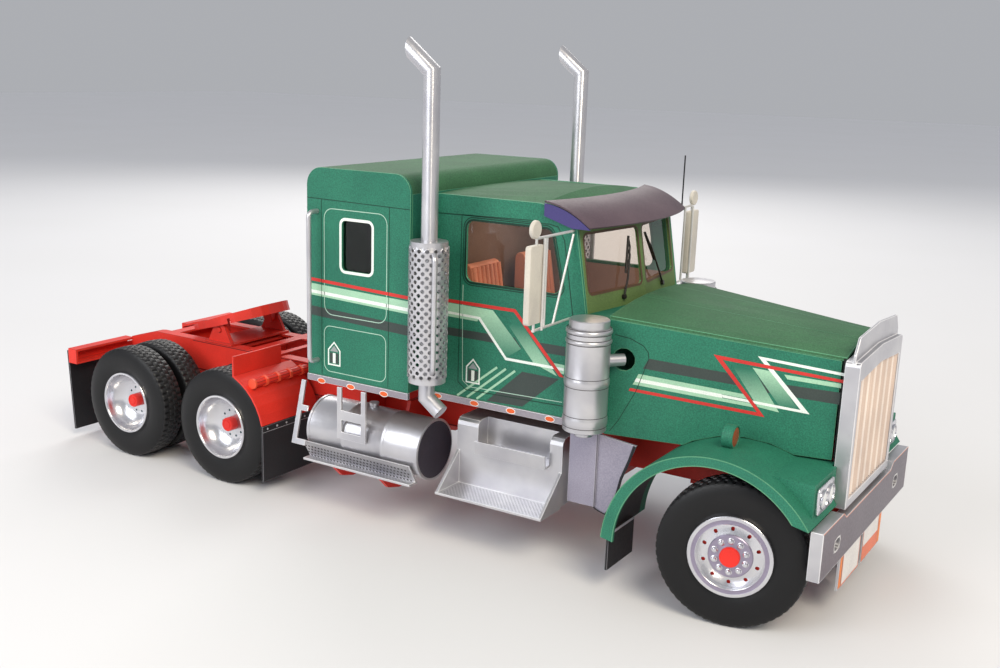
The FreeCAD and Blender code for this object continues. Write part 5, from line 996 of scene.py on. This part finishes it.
line("seam_line", hood_y, [(-46, 77.8), (-41.1, 77), (-37.2, 75.2), (-35.6, 73.2), (-35.4, 71.3), (-38.7, 60.8),
                           (-43.6, 50.8), (-46.1, 47.1)], 0.2)
for ink, upper, lower in (
        ("charcoal_line", [(-35.4, 71.5), (-10.4, 69.9)], [(-37.0, 68.2), (-8.3, 66.6)]),
        ("mint_line", [(-38.2, 66.4), (-6.6, 64.2)], [(-38.8, 65.0), (-5.6, 62.9)]),
        ("white_line", [(-38.8, 65.0), (-13.35, 63.4)], [(-39.3, 63.9), (-13.1, 62.25)]),
        ("mint_line", [(-39.3, 63.9), (-4.8, 61.7)], [(-39.8, 62.9), (-3.9, 60.6)]),
        ("red_line", [(-40.5, 61.7), (-2.9, 59.25), (-16.6, 75.1), (20.0, 71.95)],
         [(-40.9, 60.8), (-0.7, 58.1), (-13.9, 73.8), (20.0, 71.05)]),
        ("white_line", [(20.0, 73.95), (-4.1, 76.1), (9.0, 61.65), (-13.4, 63.3)],
         [(20.0, 73.1), (-1.7, 75.1), (11.6, 60.7), (-13.0, 62.4)]),
        ("charcoal_line", [(-3.9, 69.6), (-3.2, 69.6)], [(-0.5, 65.5), (0.3, 65.5)]),
        ("mint_line", [(3.6, 71.55), (20.0, 70.8)], [(4.6, 70.25), (20.0, 69.5)]),
        ("charcoal_line", [(4.5, 68.6), (20.0, 68.2)], [(6.9, 65.2), (20.0, 64.6)])):
    band(ink, hood_y, upper, lower)
for ink, (colour, _) in INKS.items():
    printed(ink, marks[ink], colour, gloss=0.42, speckle=0.3)
for name, y, upper, lower, low, high, z0, z1 in (
        ("slant_door_rear", CAB_Y, [(-94.6, 75.6), (-89.5, 79.4)], [(-84.0, 64.5), (-78.5, 68.3)],
         GREEN, MINT, 64.5, 78),
        ("slant_door_front", CAB_Y, [(-83.0, 74.8), (-81.3, 79.2)], [(-73.6, 64.3), (-65.0, 61.5)],
         MINT, GREEN, 62.5, 76),
        ("slant_hood_rear", hood_y, [(-11.4, 72.9), (-5.3, 72.5)], [(-2.9, 60.9), (3.2, 60.1)],
         MINT, GREEN, 60.5, 72),
        ("slant_hood_front", hood_y, [(-5.3, 72.5), (0.7, 72.0)], [(3.2, 61.9), (8.1, 61.9)],
         GREEN, MINT, 61.5, 71.5)):
    piece(name, [on_side(ribbon(upper, lower), y, 0.038)],
          card(name, MINT, 0.42, 0.3, shade=fading(z0, z1, low, high)))

# Sill strips run along the foot of sleeper and cab: silver card with small orange lamps printed on them, each
# in a white rim.
sill_silver = card("sill_silver", (0.36, 0.33, 0.37), gloss=0.4, speckle=0.3, metal=0.6)
dress(["sill_strips"], sill_silver, silver_edge)
dot = lathe([(1.0, 0.0), (0.0, 0.0)], 28)
places = [(x, 48.4, 48.6) for x in (-149.7, -136.8, -122.7)]
places += [(x, 34.9, 47.2) for x in (-110.2, -95.4, -81.3, -66.8, -52.5)]
for name, out, wide, high, ink, gloss in (("sill_lamps", 0.07, 1.55, 0.78, (0.80, 0.13, 0.03), 0.3),
                                          ("sill_rims", 0.04, 1.8, 1.02, (0.85, 0.85, 0.82), 0.4)):
    printed(name, [moved(dot, (x, y + out, z), np.diag((wide, 1, high))) for x, y, z in places], ink, gloss)

# The windows are clear film glued behind the card. A brown edge is printed round the windscreen's openings, and
# black wipers of wire stand on the film.
SCREEN_FOOT, SCREEN_HEAD, SCREEN_V, CAB_IN = (-56.0, 82.4), (-60.9, 110.6), 4.3, 33.5
rise = SCREEN_HEAD[1] - SCREEN_FOOT[1]
half_screen = math.hypot(SCREEN_V, CAB_IN)
across = np.array((-SCREEN_V, CAB_IN, 0.0)) / half_screen
upwards = np.array((SCREEN_HEAD[0] - SCREEN_FOOT[0], 0.0, rise)) / rise
facing = unit(np.cross(across, upwards))
screen_foot = np.array((SCREEN_FOOT[0] + SCREEN_V, 0.0, SCREEN_FOOT[1]))


def on_screen(points, lift):
    """Points (u, v) on the left half of the windscreen, lifted off its card."""
    points = np.asarray(points, float)
    return screen_foot + points[..., :1] * across + points[..., 1:2] * upwards + facing * np.reshape(lift, (-1, 1))


def wiper(foot, head):
    """Wire arm on a round pivot, and a blade with a kinked back that hangs on it."""
    foot, head = np.array(foot, float), np.array(head, float)
    way = unit(head - foot)
    wide = np.array((-way[1], way[0]))
    arm = [foot, foot + way * 6 + wide * 0.5, head - way * 6 + wide * 0.5, head - way * 4.5]
    blade = [head - way * 12, head - way * 5, head]
    back = [head - way * 10.5, head - way * 7.5 + wide * 0.55, head - way * 3.5 + wide * 0.55, head - way * 1.0]
    return [pipe(on_screen(path, lift), r, sides) for path, lift, r, sides in (
        (arm, [0.5, 1.0, 1.1, 0.75], 0.34, 12), (blade, 0.35, 0.42, 12), (back, [0.5, 0.9, 0.9, 0.5], 0.28, 12),
        ([foot, foot], [0.05, 1.0], 0.8, 20))]


# Painted warm light: the windscreen frame gets a lighter yellow-green copy of the cab's green, standing in for the
# warm front light on its front-facing sheets.
warm_lit_green_card = card("warm_lit_green_card", (0.115, 0.185, 0.060), gloss=0.6, speckle=0.7)
dress(["windscreen_frame"], warm_lit_green_card, green_edge, 0.12)
opening = rounded(1.5, half_screen - 1.8, 5.6, rise - 4.0, 2.0)
printed("screen_edges", [woven(on_screen(stroke(opening, 0.75, True)[::-1], LIFT))], (0.10, 0.055, 0.03), gloss=0.5)
wipers = wiper((17.0, 3.2), (3.6, 21.5)) + [mirrored(s) for s in wiper((13.6, 2.9), (7.6, 21.5))]
wiper_black = card("wiper_black", (0.02, 0.017, 0.015), gloss=0.3, speckle=0.3)
piece("wipers", wipers, wiper_black, both=False, outward=True)
film = bpy.data.materials.new("clear_film")
film.use_nodes = True
tree = film.node_tree
tree.nodes.clear()
waves = noise_in(tree, node_in(tree, "TexCoord").outputs["Object"], 45)
uneven = node_in(tree, "Bump", {"Strength": 0.05, "Distance": 0.001, "Height": waves}).outputs["Normal"]
thin = node_in(tree, "BsdfTransparent", {"Color": (0.93, 0.90, 0.87, 1)})
gloss = node_in(tree, "BsdfGlossy", {"Roughness": 0.04, "Normal": uneven})
bounce = node_in(tree, "Fresnel", {"IOR": 1.45})
behind = node_in(tree, "NewGeometry").outputs["Backfacing"]
front_only = node_in(tree, "Math", {0: 0.5, 1: behind}, operation="GREATER_THAN")
held = node_in(tree, "Math", {0: bounce.outputs[0], 1: front_only.outputs[0]}, operation="MULTIPLY")
shown = node_in(tree, "MixShader", {"Fac": held.outputs[0], 1: thin.outputs[0], 2: gloss.outputs[0]})
node_in(tree, "OutputMaterial", {"Surface": shown.outputs[0]})
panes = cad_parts["window_panes"].data.materials
panes.clear()
panes.append(film)

# Inside the cab are salmon seats with sewn ribs, a cream dashboard and brown linings, all of card. One small
# warm lamp stands for the daylight that falls in through the film.
SEAT_X, SEAT_Y, SEAT_FOOT_Z, SEAT_RIBS, RIB_R, RIB_REACH = -104.2, 17.5, 49.4, 7, 1.1, 7.6
LINING = 0.25
salmon_card = card("salmon_card", (0.75, 0.30, 0.20), gloss=0.6, speckle=0.3)
salmon_edge = card("salmon_edge", (0.72, 0.30, 0.20), gloss=0.6, speckle=0.3)
brown_card = card("brown_card", (0.25, 0.165, 0.135), gloss=0.55, speckle=0.35)
cream_inside = card("cream_inside", (0.80, 0.70, 0.58), gloss=0.6, speckle=0.25)
dress(["seats"], salmon_card, salmon_edge, 0.3)
dress(["dashboard"], cream_inside, cream_inside, 0.3)
dress(["cab_floors"], brown_card, brown_card, 0.1)
ribs = []
for middle in (SEAT_Y, -SEAT_Y):
    for y in np.linspace(middle - RIB_REACH, middle + RIB_REACH, SEAT_RIBS):
        for (x0, z0), (x1, z1) in (((4.9, 16), (0.7, 41)), ((5.5, 15.9), (17.6, 15.9))):
            ribs.append(pipe([(SEAT_X + x0, y, SEAT_FOOT_Z + z0), (SEAT_X + x1, y, SEAT_FOOT_Z + z1)], RIB_R, 14))
piece("seat_ribs", ribs, salmon_card, both=False, outward=True)
linings = [bar((-112.85, -33.2, 49.6), (-112.6, 33.2, 112.5))]
for y in (33.1, -33.1 - LINING):
    for x0, z0, x1, z1 in ((-112.5, 49.6, -49.2, 81.0), (-112.5, 81.0, -58.2, 86.5), (-112.5, 86.5, -101.5, 113.0),
                           (-101.5, 108.6, -66.5, 113.0)):
        linings.append(bar((x0, y, z0), (x1, y + LINING, z1)))
piece("cab_linings", linings, brown_card, both=False)
lamp("cab_lamp", row((-80.0, 0, 109.5)), row((-88.0, 0, 60.0)), 0.03, 0.012, (1.0, 0.86, 0.72))

# The hood's top is a sheet of green card bent over its frame, with two faint fold lines. Its sides are flat
# sheets glued under the top, and they taper to the radiator.
HOOD_REAR, HOOD_FRONT, HOOD_CROWN = np.array((HOOD_REAR_X, CAB_Y, 83.4)), np.array((20.0, 21.5, 78.5)), 3.2
FOLD_SHARES, FOLD_WIDE = (0.34, 0.37), 0.22
# The hood top takes the darker olive copy of the green: painted shade for a top face.
dress(["hood_top"], shaded_top_green, green_edge, 0.14)
dress(["hood_sides"], green_card, green_edge, 0.14)
ridge_line = HOOD_REAR + (HOOD_FRONT - HOOD_REAR) * np.linspace(0, 1, 9)[:, None]
fold = ridge_line * (1, FOLD_SHARES[0], 1) + (0, 0, HOOD_CROWN * (1 - FOLD_SHARES[0] ** 2) + 0.02)
piece("hood_folds", [woven(np.stack([fold, fold + (0, FOLD_WIDE, 0)]))], green_edge)

# Each front fender is an arch of card with a flat outer band and a black lining. Its lamp pod is folded on the
# inboard side, and a round side lamp stands on top.
ARCH_X, ARCH_Z, ARCH_R, ARCH_ENDS = -6.0, 17.0, 33.8, (33.5, 177)
LIP_Z, LIP_R, LIP_ENDS = 18.1, 29.7, (38.3, 180)
FENDER_IN, FENDER_OUT, BAND_IN, EDGE_SOFT = 20.0, 49.6, 48.6, 0.12
SHELL_X, SHELL_SIDE = 19.6, 23.9
POD_REAR, POD_FACE, POD_Y, POD_TOP = 7.5, 21.0, 43.8, 47.4
SIDE_LAMP = (0, 36.0, ARCH_Z + ARCH_R + 3.0)


def arc(z, r, start, end):
    """Points (x, z) along the wheel arch from one angle to another, in degrees from straight ahead."""
    angle = np.radians(start + (end - start) * np.linspace(0, 1, 73))
    return np.stack([ARCH_X + r * np.cos(angle), z + r * np.sin(angle)], axis=-1)


outer, inner, soft = (arc(ARCH_Z, ARCH_R - less, *ARCH_ENDS) for less in (0, 1, EDGE_SOFT))
lip = arc(LIP_Z, LIP_R, *LIP_ENDS)
inboard = np.where(outer[:, 0] > SHELL_X, SHELL_SIDE, FENDER_IN)
loop = np.stack([at_y(outer, inboard), at_y(outer, FENDER_OUT - EDGE_SOFT), at_y(soft, FENDER_OUT),
                 at_y(lip, FENDER_OUT), at_y(lip, BAND_IN), at_y(inner, BAND_IN), at_y(inner, inboard)])
shell = closed_tube(loop, ((0, 1, 5, 6), (1, 2, 3, 5), (3, 4, 5, 5)))
x = np.concatenate([np.linspace(POD_REAR, SHELL_X - 0.02, 12), [SHELL_X + 0.02], np.linspace(19.9, POD_FACE, 4)])
pod_in, pod_out = np.where(x > SHELL_X, SHELL_SIDE, FENDER_IN), POD_Y + 0 * x
pod_top = POD_TOP - 0.4 * (x - POD_REAR) / (POD_FACE - POD_REAR)
pod_low = np.minimum(ARCH_Z + np.sqrt((ARCH_R - 0.5) ** 2 - (x - ARCH_X) ** 2), pod_top - 0.02)
pod = closed_tube(np.stack([np.stack([x, y, z], axis=-1) for y, z in (
    (pod_in, pod_top), (pod_out, pod_top), (pod_out, pod_low), (pod_in, pod_low))]))
tube = moved(lathe([(0.0, -8.5), (3.2, -8.5), (3.5, -8.2), (3.5, -5.15), (3.35, -5.0), (3.0, -5.0), (2.9, -5.3),
                    (0.0, -5.3)], 48, "x"), SIDE_LAMP)
piece("fender_shells", shell + pod + [tube], green_card, ["fenders"], outward=True)
lining = woven(np.stack([at_y(arc(ARCH_Z, ARCH_R - 1.05, 34, 176.5), y) for y in (24.2, BAND_IN - 0.05)]))
piece("fender_linings", [lining], black_card)
for name, rim_line in (("fender_edge_outer", ribbon(outer, arc(ARCH_Z, ARCH_R - 0.3, *ARCH_ENDS))),
                       ("fender_edge_inner", ribbon(lip, arc(LIP_Z, LIP_R + 0.3, *LIP_ENDS)))):
    piece(name, [on_side(rim_line, FENDER_OUT - 0.02)], green_edge)
lens = moved(lathe([(2.9, -5.25), (2.2, -5.05), (1.2, -4.95), (0.0, -4.92)], 40, "x"), SIDE_LAMP)
printed("side_lamp_lenses", [lens], (0.30, 0.07, 0.03), gloss=0.2)

# Headlamps are plates of bright foil glued on the front of each pod. Each plate carries two round lenses of
# pale card in rolled bezels.
HEADLAMPS = [(POD_FACE, y, 41.6) for y in (31.7, 38.1)]
plate = rounded_plate(27.6, 42.2, 37.6, 45.6, POD_FACE + 0.02, POD_FACE + 0.9, 1.2)
bezel = lathe([(2.9, 0.5), (2.9, 1.35), (2.75, 1.55), (2.55, 1.6), (2.4, 1.35), (2.35, 1.0)], 48, "x")
glass = lathe([(2.4, 1.05), (1.9, 1.3), (1.2, 1.48), (0.5, 1.57), (0.0, 1.58)], 48, "x")
piece("headlamp_plates", [plate] + [moved(bezel, place) for place in HEADLAMPS], foil, ["headlamps"])
lens_white = card("lens_white", (0.78, 0.80, 0.80), gloss=0.12, speckle=0.15, bump=0.02)
piece("headlamp_lenses", [moved(glass, place) for place in HEADLAMPS], lens_white)

# The radiator shell and its deflector are silver card round a grille of fine vertical pleats, which is folded from
# one printed sheet; the pleats' light and shade are painted on the grille as pale and darker stripes. A dark strip of
# painted shade stands for the gap between the shell and the hood.
PLEAT_PITCH = 42.8 / 19 / 1000
WAVE_SCALE = 2 * math.pi / 20 / PLEAT_PITCH


def pleat_ink_and_light(tree, place):
    """Pink-brown ink with painted light and shade for the pleats: paler on each fold that stands forward, and palest
    on every third one.
    """
    each, third = (node_in(tree, "TexWave", {"Scale": scale, "Vector": place}, bands_direction="Y").outputs["Fac"]
                   for scale in (WAVE_SCALE, WAVE_SCALE / 3))
    folds = mixed(tree, each, (0.52, 0.395, 0.325, 1), (0.68, 0.55, 0.47, 1))
    return mixed(tree, ranged(tree, third, 0.78, 0.94), folds, (0.84, 0.75, 0.68, 1))


dress(["radiator_shell"], silver_card, silver_edge, 0.2)
grille_card = card("grille_card", (0.6, 0.52, 0.44), gloss=0.45, speckle=0.1, metal=0.1, shade=pleat_ink_and_light)
dress(["grille"], grille_card, grille_card, 0.05)
# Painted shade: a near-black strip on each hood side stands for the shadow in the gap between the shell and the hood.
gap = ribbon([(19.2, 78.2), (19.95, 78.2)], [(19.2, 47.5), (19.95, 47.5)])
printed("shell_gap_shade", [on_side(gap, hood_y)], (0.008, 0.01, 0.01), gloss=0.6)

# The bumper is folded from silver card with a dark printed face and two slots, and two blank plates hang under
# it between orange markers.
NOSE_X, PLATE_FACE = 25.6, 24.8
BUMPER_LOW, BUMPER_TOP, BUMPER_DIP, BUMPER_Y, DIP_Y, RISE_Y = 20.8, 35.2, 33.2, 47.4, 25.0, 28.0
SLOT_IN, SLOT_OUT, SLOT_LOW, SLOT_TOP, FACE_MARGIN, TOP_GLINT_WIDE = 29.6, 35.4, 25.4, 29.4, 0.3, 0.28


def on_front(grid, x):
    """Flat band (y, z) laid on a face that looks ahead at x."""
    return facing_way(*woven(np.stack([0 * grid[..., 0] + x, grid[..., 0], grid[..., 1]], axis=-1)), 1, 2, 1)


def upright(y0, y1, top, low, x):
    """Rectangle on a face that looks ahead at x."""
    return on_front(ribbon([(y0, top), (y1, top)], [(y0, low), (y1, low)]), x)


dress(["bumper"], silver_card, silver_edge, 0.2)
dress(["number_plates"], silver_card, silver_edge, 0.08)
top, low, dip = BUMPER_TOP - FACE_MARGIN, BUMPER_LOW + FACE_MARGIN, BUMPER_DIP - FACE_MARGIN
face_x = NOSE_X - 0.02 + LIFT
face = [on_front(ribbon([(0, dip), (DIP_Y, dip), (RISE_Y, top)], [(0, low), (DIP_Y, low), (RISE_Y, low)]), face_x)]
for y0, y1, z1, z0 in ((RISE_Y, SLOT_IN, top, low), (SLOT_IN, SLOT_OUT, top, SLOT_TOP),
                       (SLOT_IN, SLOT_OUT, SLOT_LOW, low), (SLOT_OUT, BUMPER_Y - FACE_MARGIN, top, low)):
    face.append(upright(y0, y1, z1, z0, face_x))
printed("bumper_face", face, (0.15, 0.125, 0.155), gloss=0.35, metal=0.55)
slot_rim = on_front(stroke(rounded(SLOT_IN, SLOT_OUT, SLOT_LOW, SLOT_TOP, 1.9), 0.5, True), NOSE_X + 0.035)
printed("bumper_slot_rims", [slot_rim], (0.72, 0.71, 0.70), gloss=0.35, metal=0.4)
# Painted highlight: a thin orange-gold band along the top edge of the bumper's face stands for warm light caught on
# that edge.
edge = np.array([(0, BUMPER_DIP), (DIP_Y, BUMPER_DIP), (RISE_Y, BUMPER_TOP), (BUMPER_Y, BUMPER_TOP)])
top_glint = on_front(ribbon(edge, edge - (0, TOP_GLINT_WIDE)), NOSE_X + 0.01)
printed("bumper_top_glint", [top_glint], (0.78, 0.34, 0.24), gloss=0.5)
bulb = lathe([(0.0, -0.2), (0.8, 0.0), (0.95, 0.6), (0.7, 1.1), (0.0, 1.25)], 24, "x")
piece("bumper_bulbs", [moved(bulb, (22.6, 32.5, 27.4))], lens_white)
plates = [(-20.3, -2.3), (1.4, 19.4)]
printed("plate_faces", [upright(y0, y1, 20.2, 9.8, PLATE_FACE + LIFT) for y0, y1 in plates], (0.78, 0.75, 0.72),
        gloss=0.45, both=False)
rims = [stroke([(y0, 20.2), (y1, 20.2), (y1, 9.8), (y0, 9.8)], 0.4, True) for y0, y1 in plates]
printed("plate_lines", [on_front(rim, PLATE_FACE + 2 * LIFT) for rim in rims]
        + [upright(1.6, 19.2, 14.4, 10.0, PLATE_FACE + 1.5 * LIFT)], (0.80, 0.20, 0.10), gloss=0.45, both=False)
printed("plate_markers", [upright(y0, y1, 20.3, 9.7, PLATE_FACE + LIFT) for y0, y1 in ((-23.2, -20.9), (20.0, 22.3))],
        (0.85, 0.22, 0.03), gloss=0.4, both=False)

# Behind the cab the card is orange-red. Collars of folded card stand on the tubes across the quarter fenders,
# and thin dark lines are printed along the rails.
TUBE_X, TUBE_Z, RAIL_Y, RAIL_LINE = -183.3, 41.3, 17.2, 0.3
collar = lathe([(1.6, -0.55), (2.15, -0.55), (2.15, 0.55), (1.6, 0.55), (1.6, -0.55)], 6)
end_cap = lathe([(0.0, -0.5), (1.6, -0.5), (1.95, -0.5), (1.95, 0.3), (1.7, 0.5), (0.0, 0.5)], 24)
collars = [moved(collar, (TUBE_X, y, TUBE_Z)) for y in (21.5, 28.0, 34.5, 41.0)]
tube_red = card("tube_red", (0.80, 0.09, 0.04), gloss=0.5, speckle=0.2)
piece("tube_collars", collars + [moved(end_cap, (TUBE_X, 47.2, TUBE_Z))], tube_red)
rail_marks = [on_side(stroke([(-245.0, z - RAIL_LINE / 2), (-112.0, z - RAIL_LINE / 2)], RAIL_LINE), RAIL_Y)
              for z in (43.1, 31.6)]
printed("rail_lines", rail_marks, (0.10, 0.012, 0.012), gloss=0.5)

# The splash panel behind each fender is a flat sheet of grey card that stands on the step. Its grey is tinted violet,
# which is a painted reflection of violet surroundings. A black edge is printed along its rounded outline.
splash_grey_and_reflection = card("splash_grey_and_reflection", (0.33, 0.31, 0.39), gloss=0.4, speckle=0.35, metal=0.45)
dress(["splash_panels"], splash_grey_and_reflection, silver_edge)
rim_path = [(-50.0, 33.0), (-50.0, 22.4), (-49.2, 21.4), (-47.5, 20.7), (-45.2, 20.1), (-43.4, 23.0), (-41.9, 27.0),
            (-40.6, 33.0), (-38.2, 39.5), (-36.8, 44.3)]
printed("splash_edges", [on_side(stroke(rim_path[4:], 0.9), 35.4), on_side(stroke(rim_path[:5], 0.4), 35.4)],
        (0.012, 0.012, 0.016), gloss=0.5)
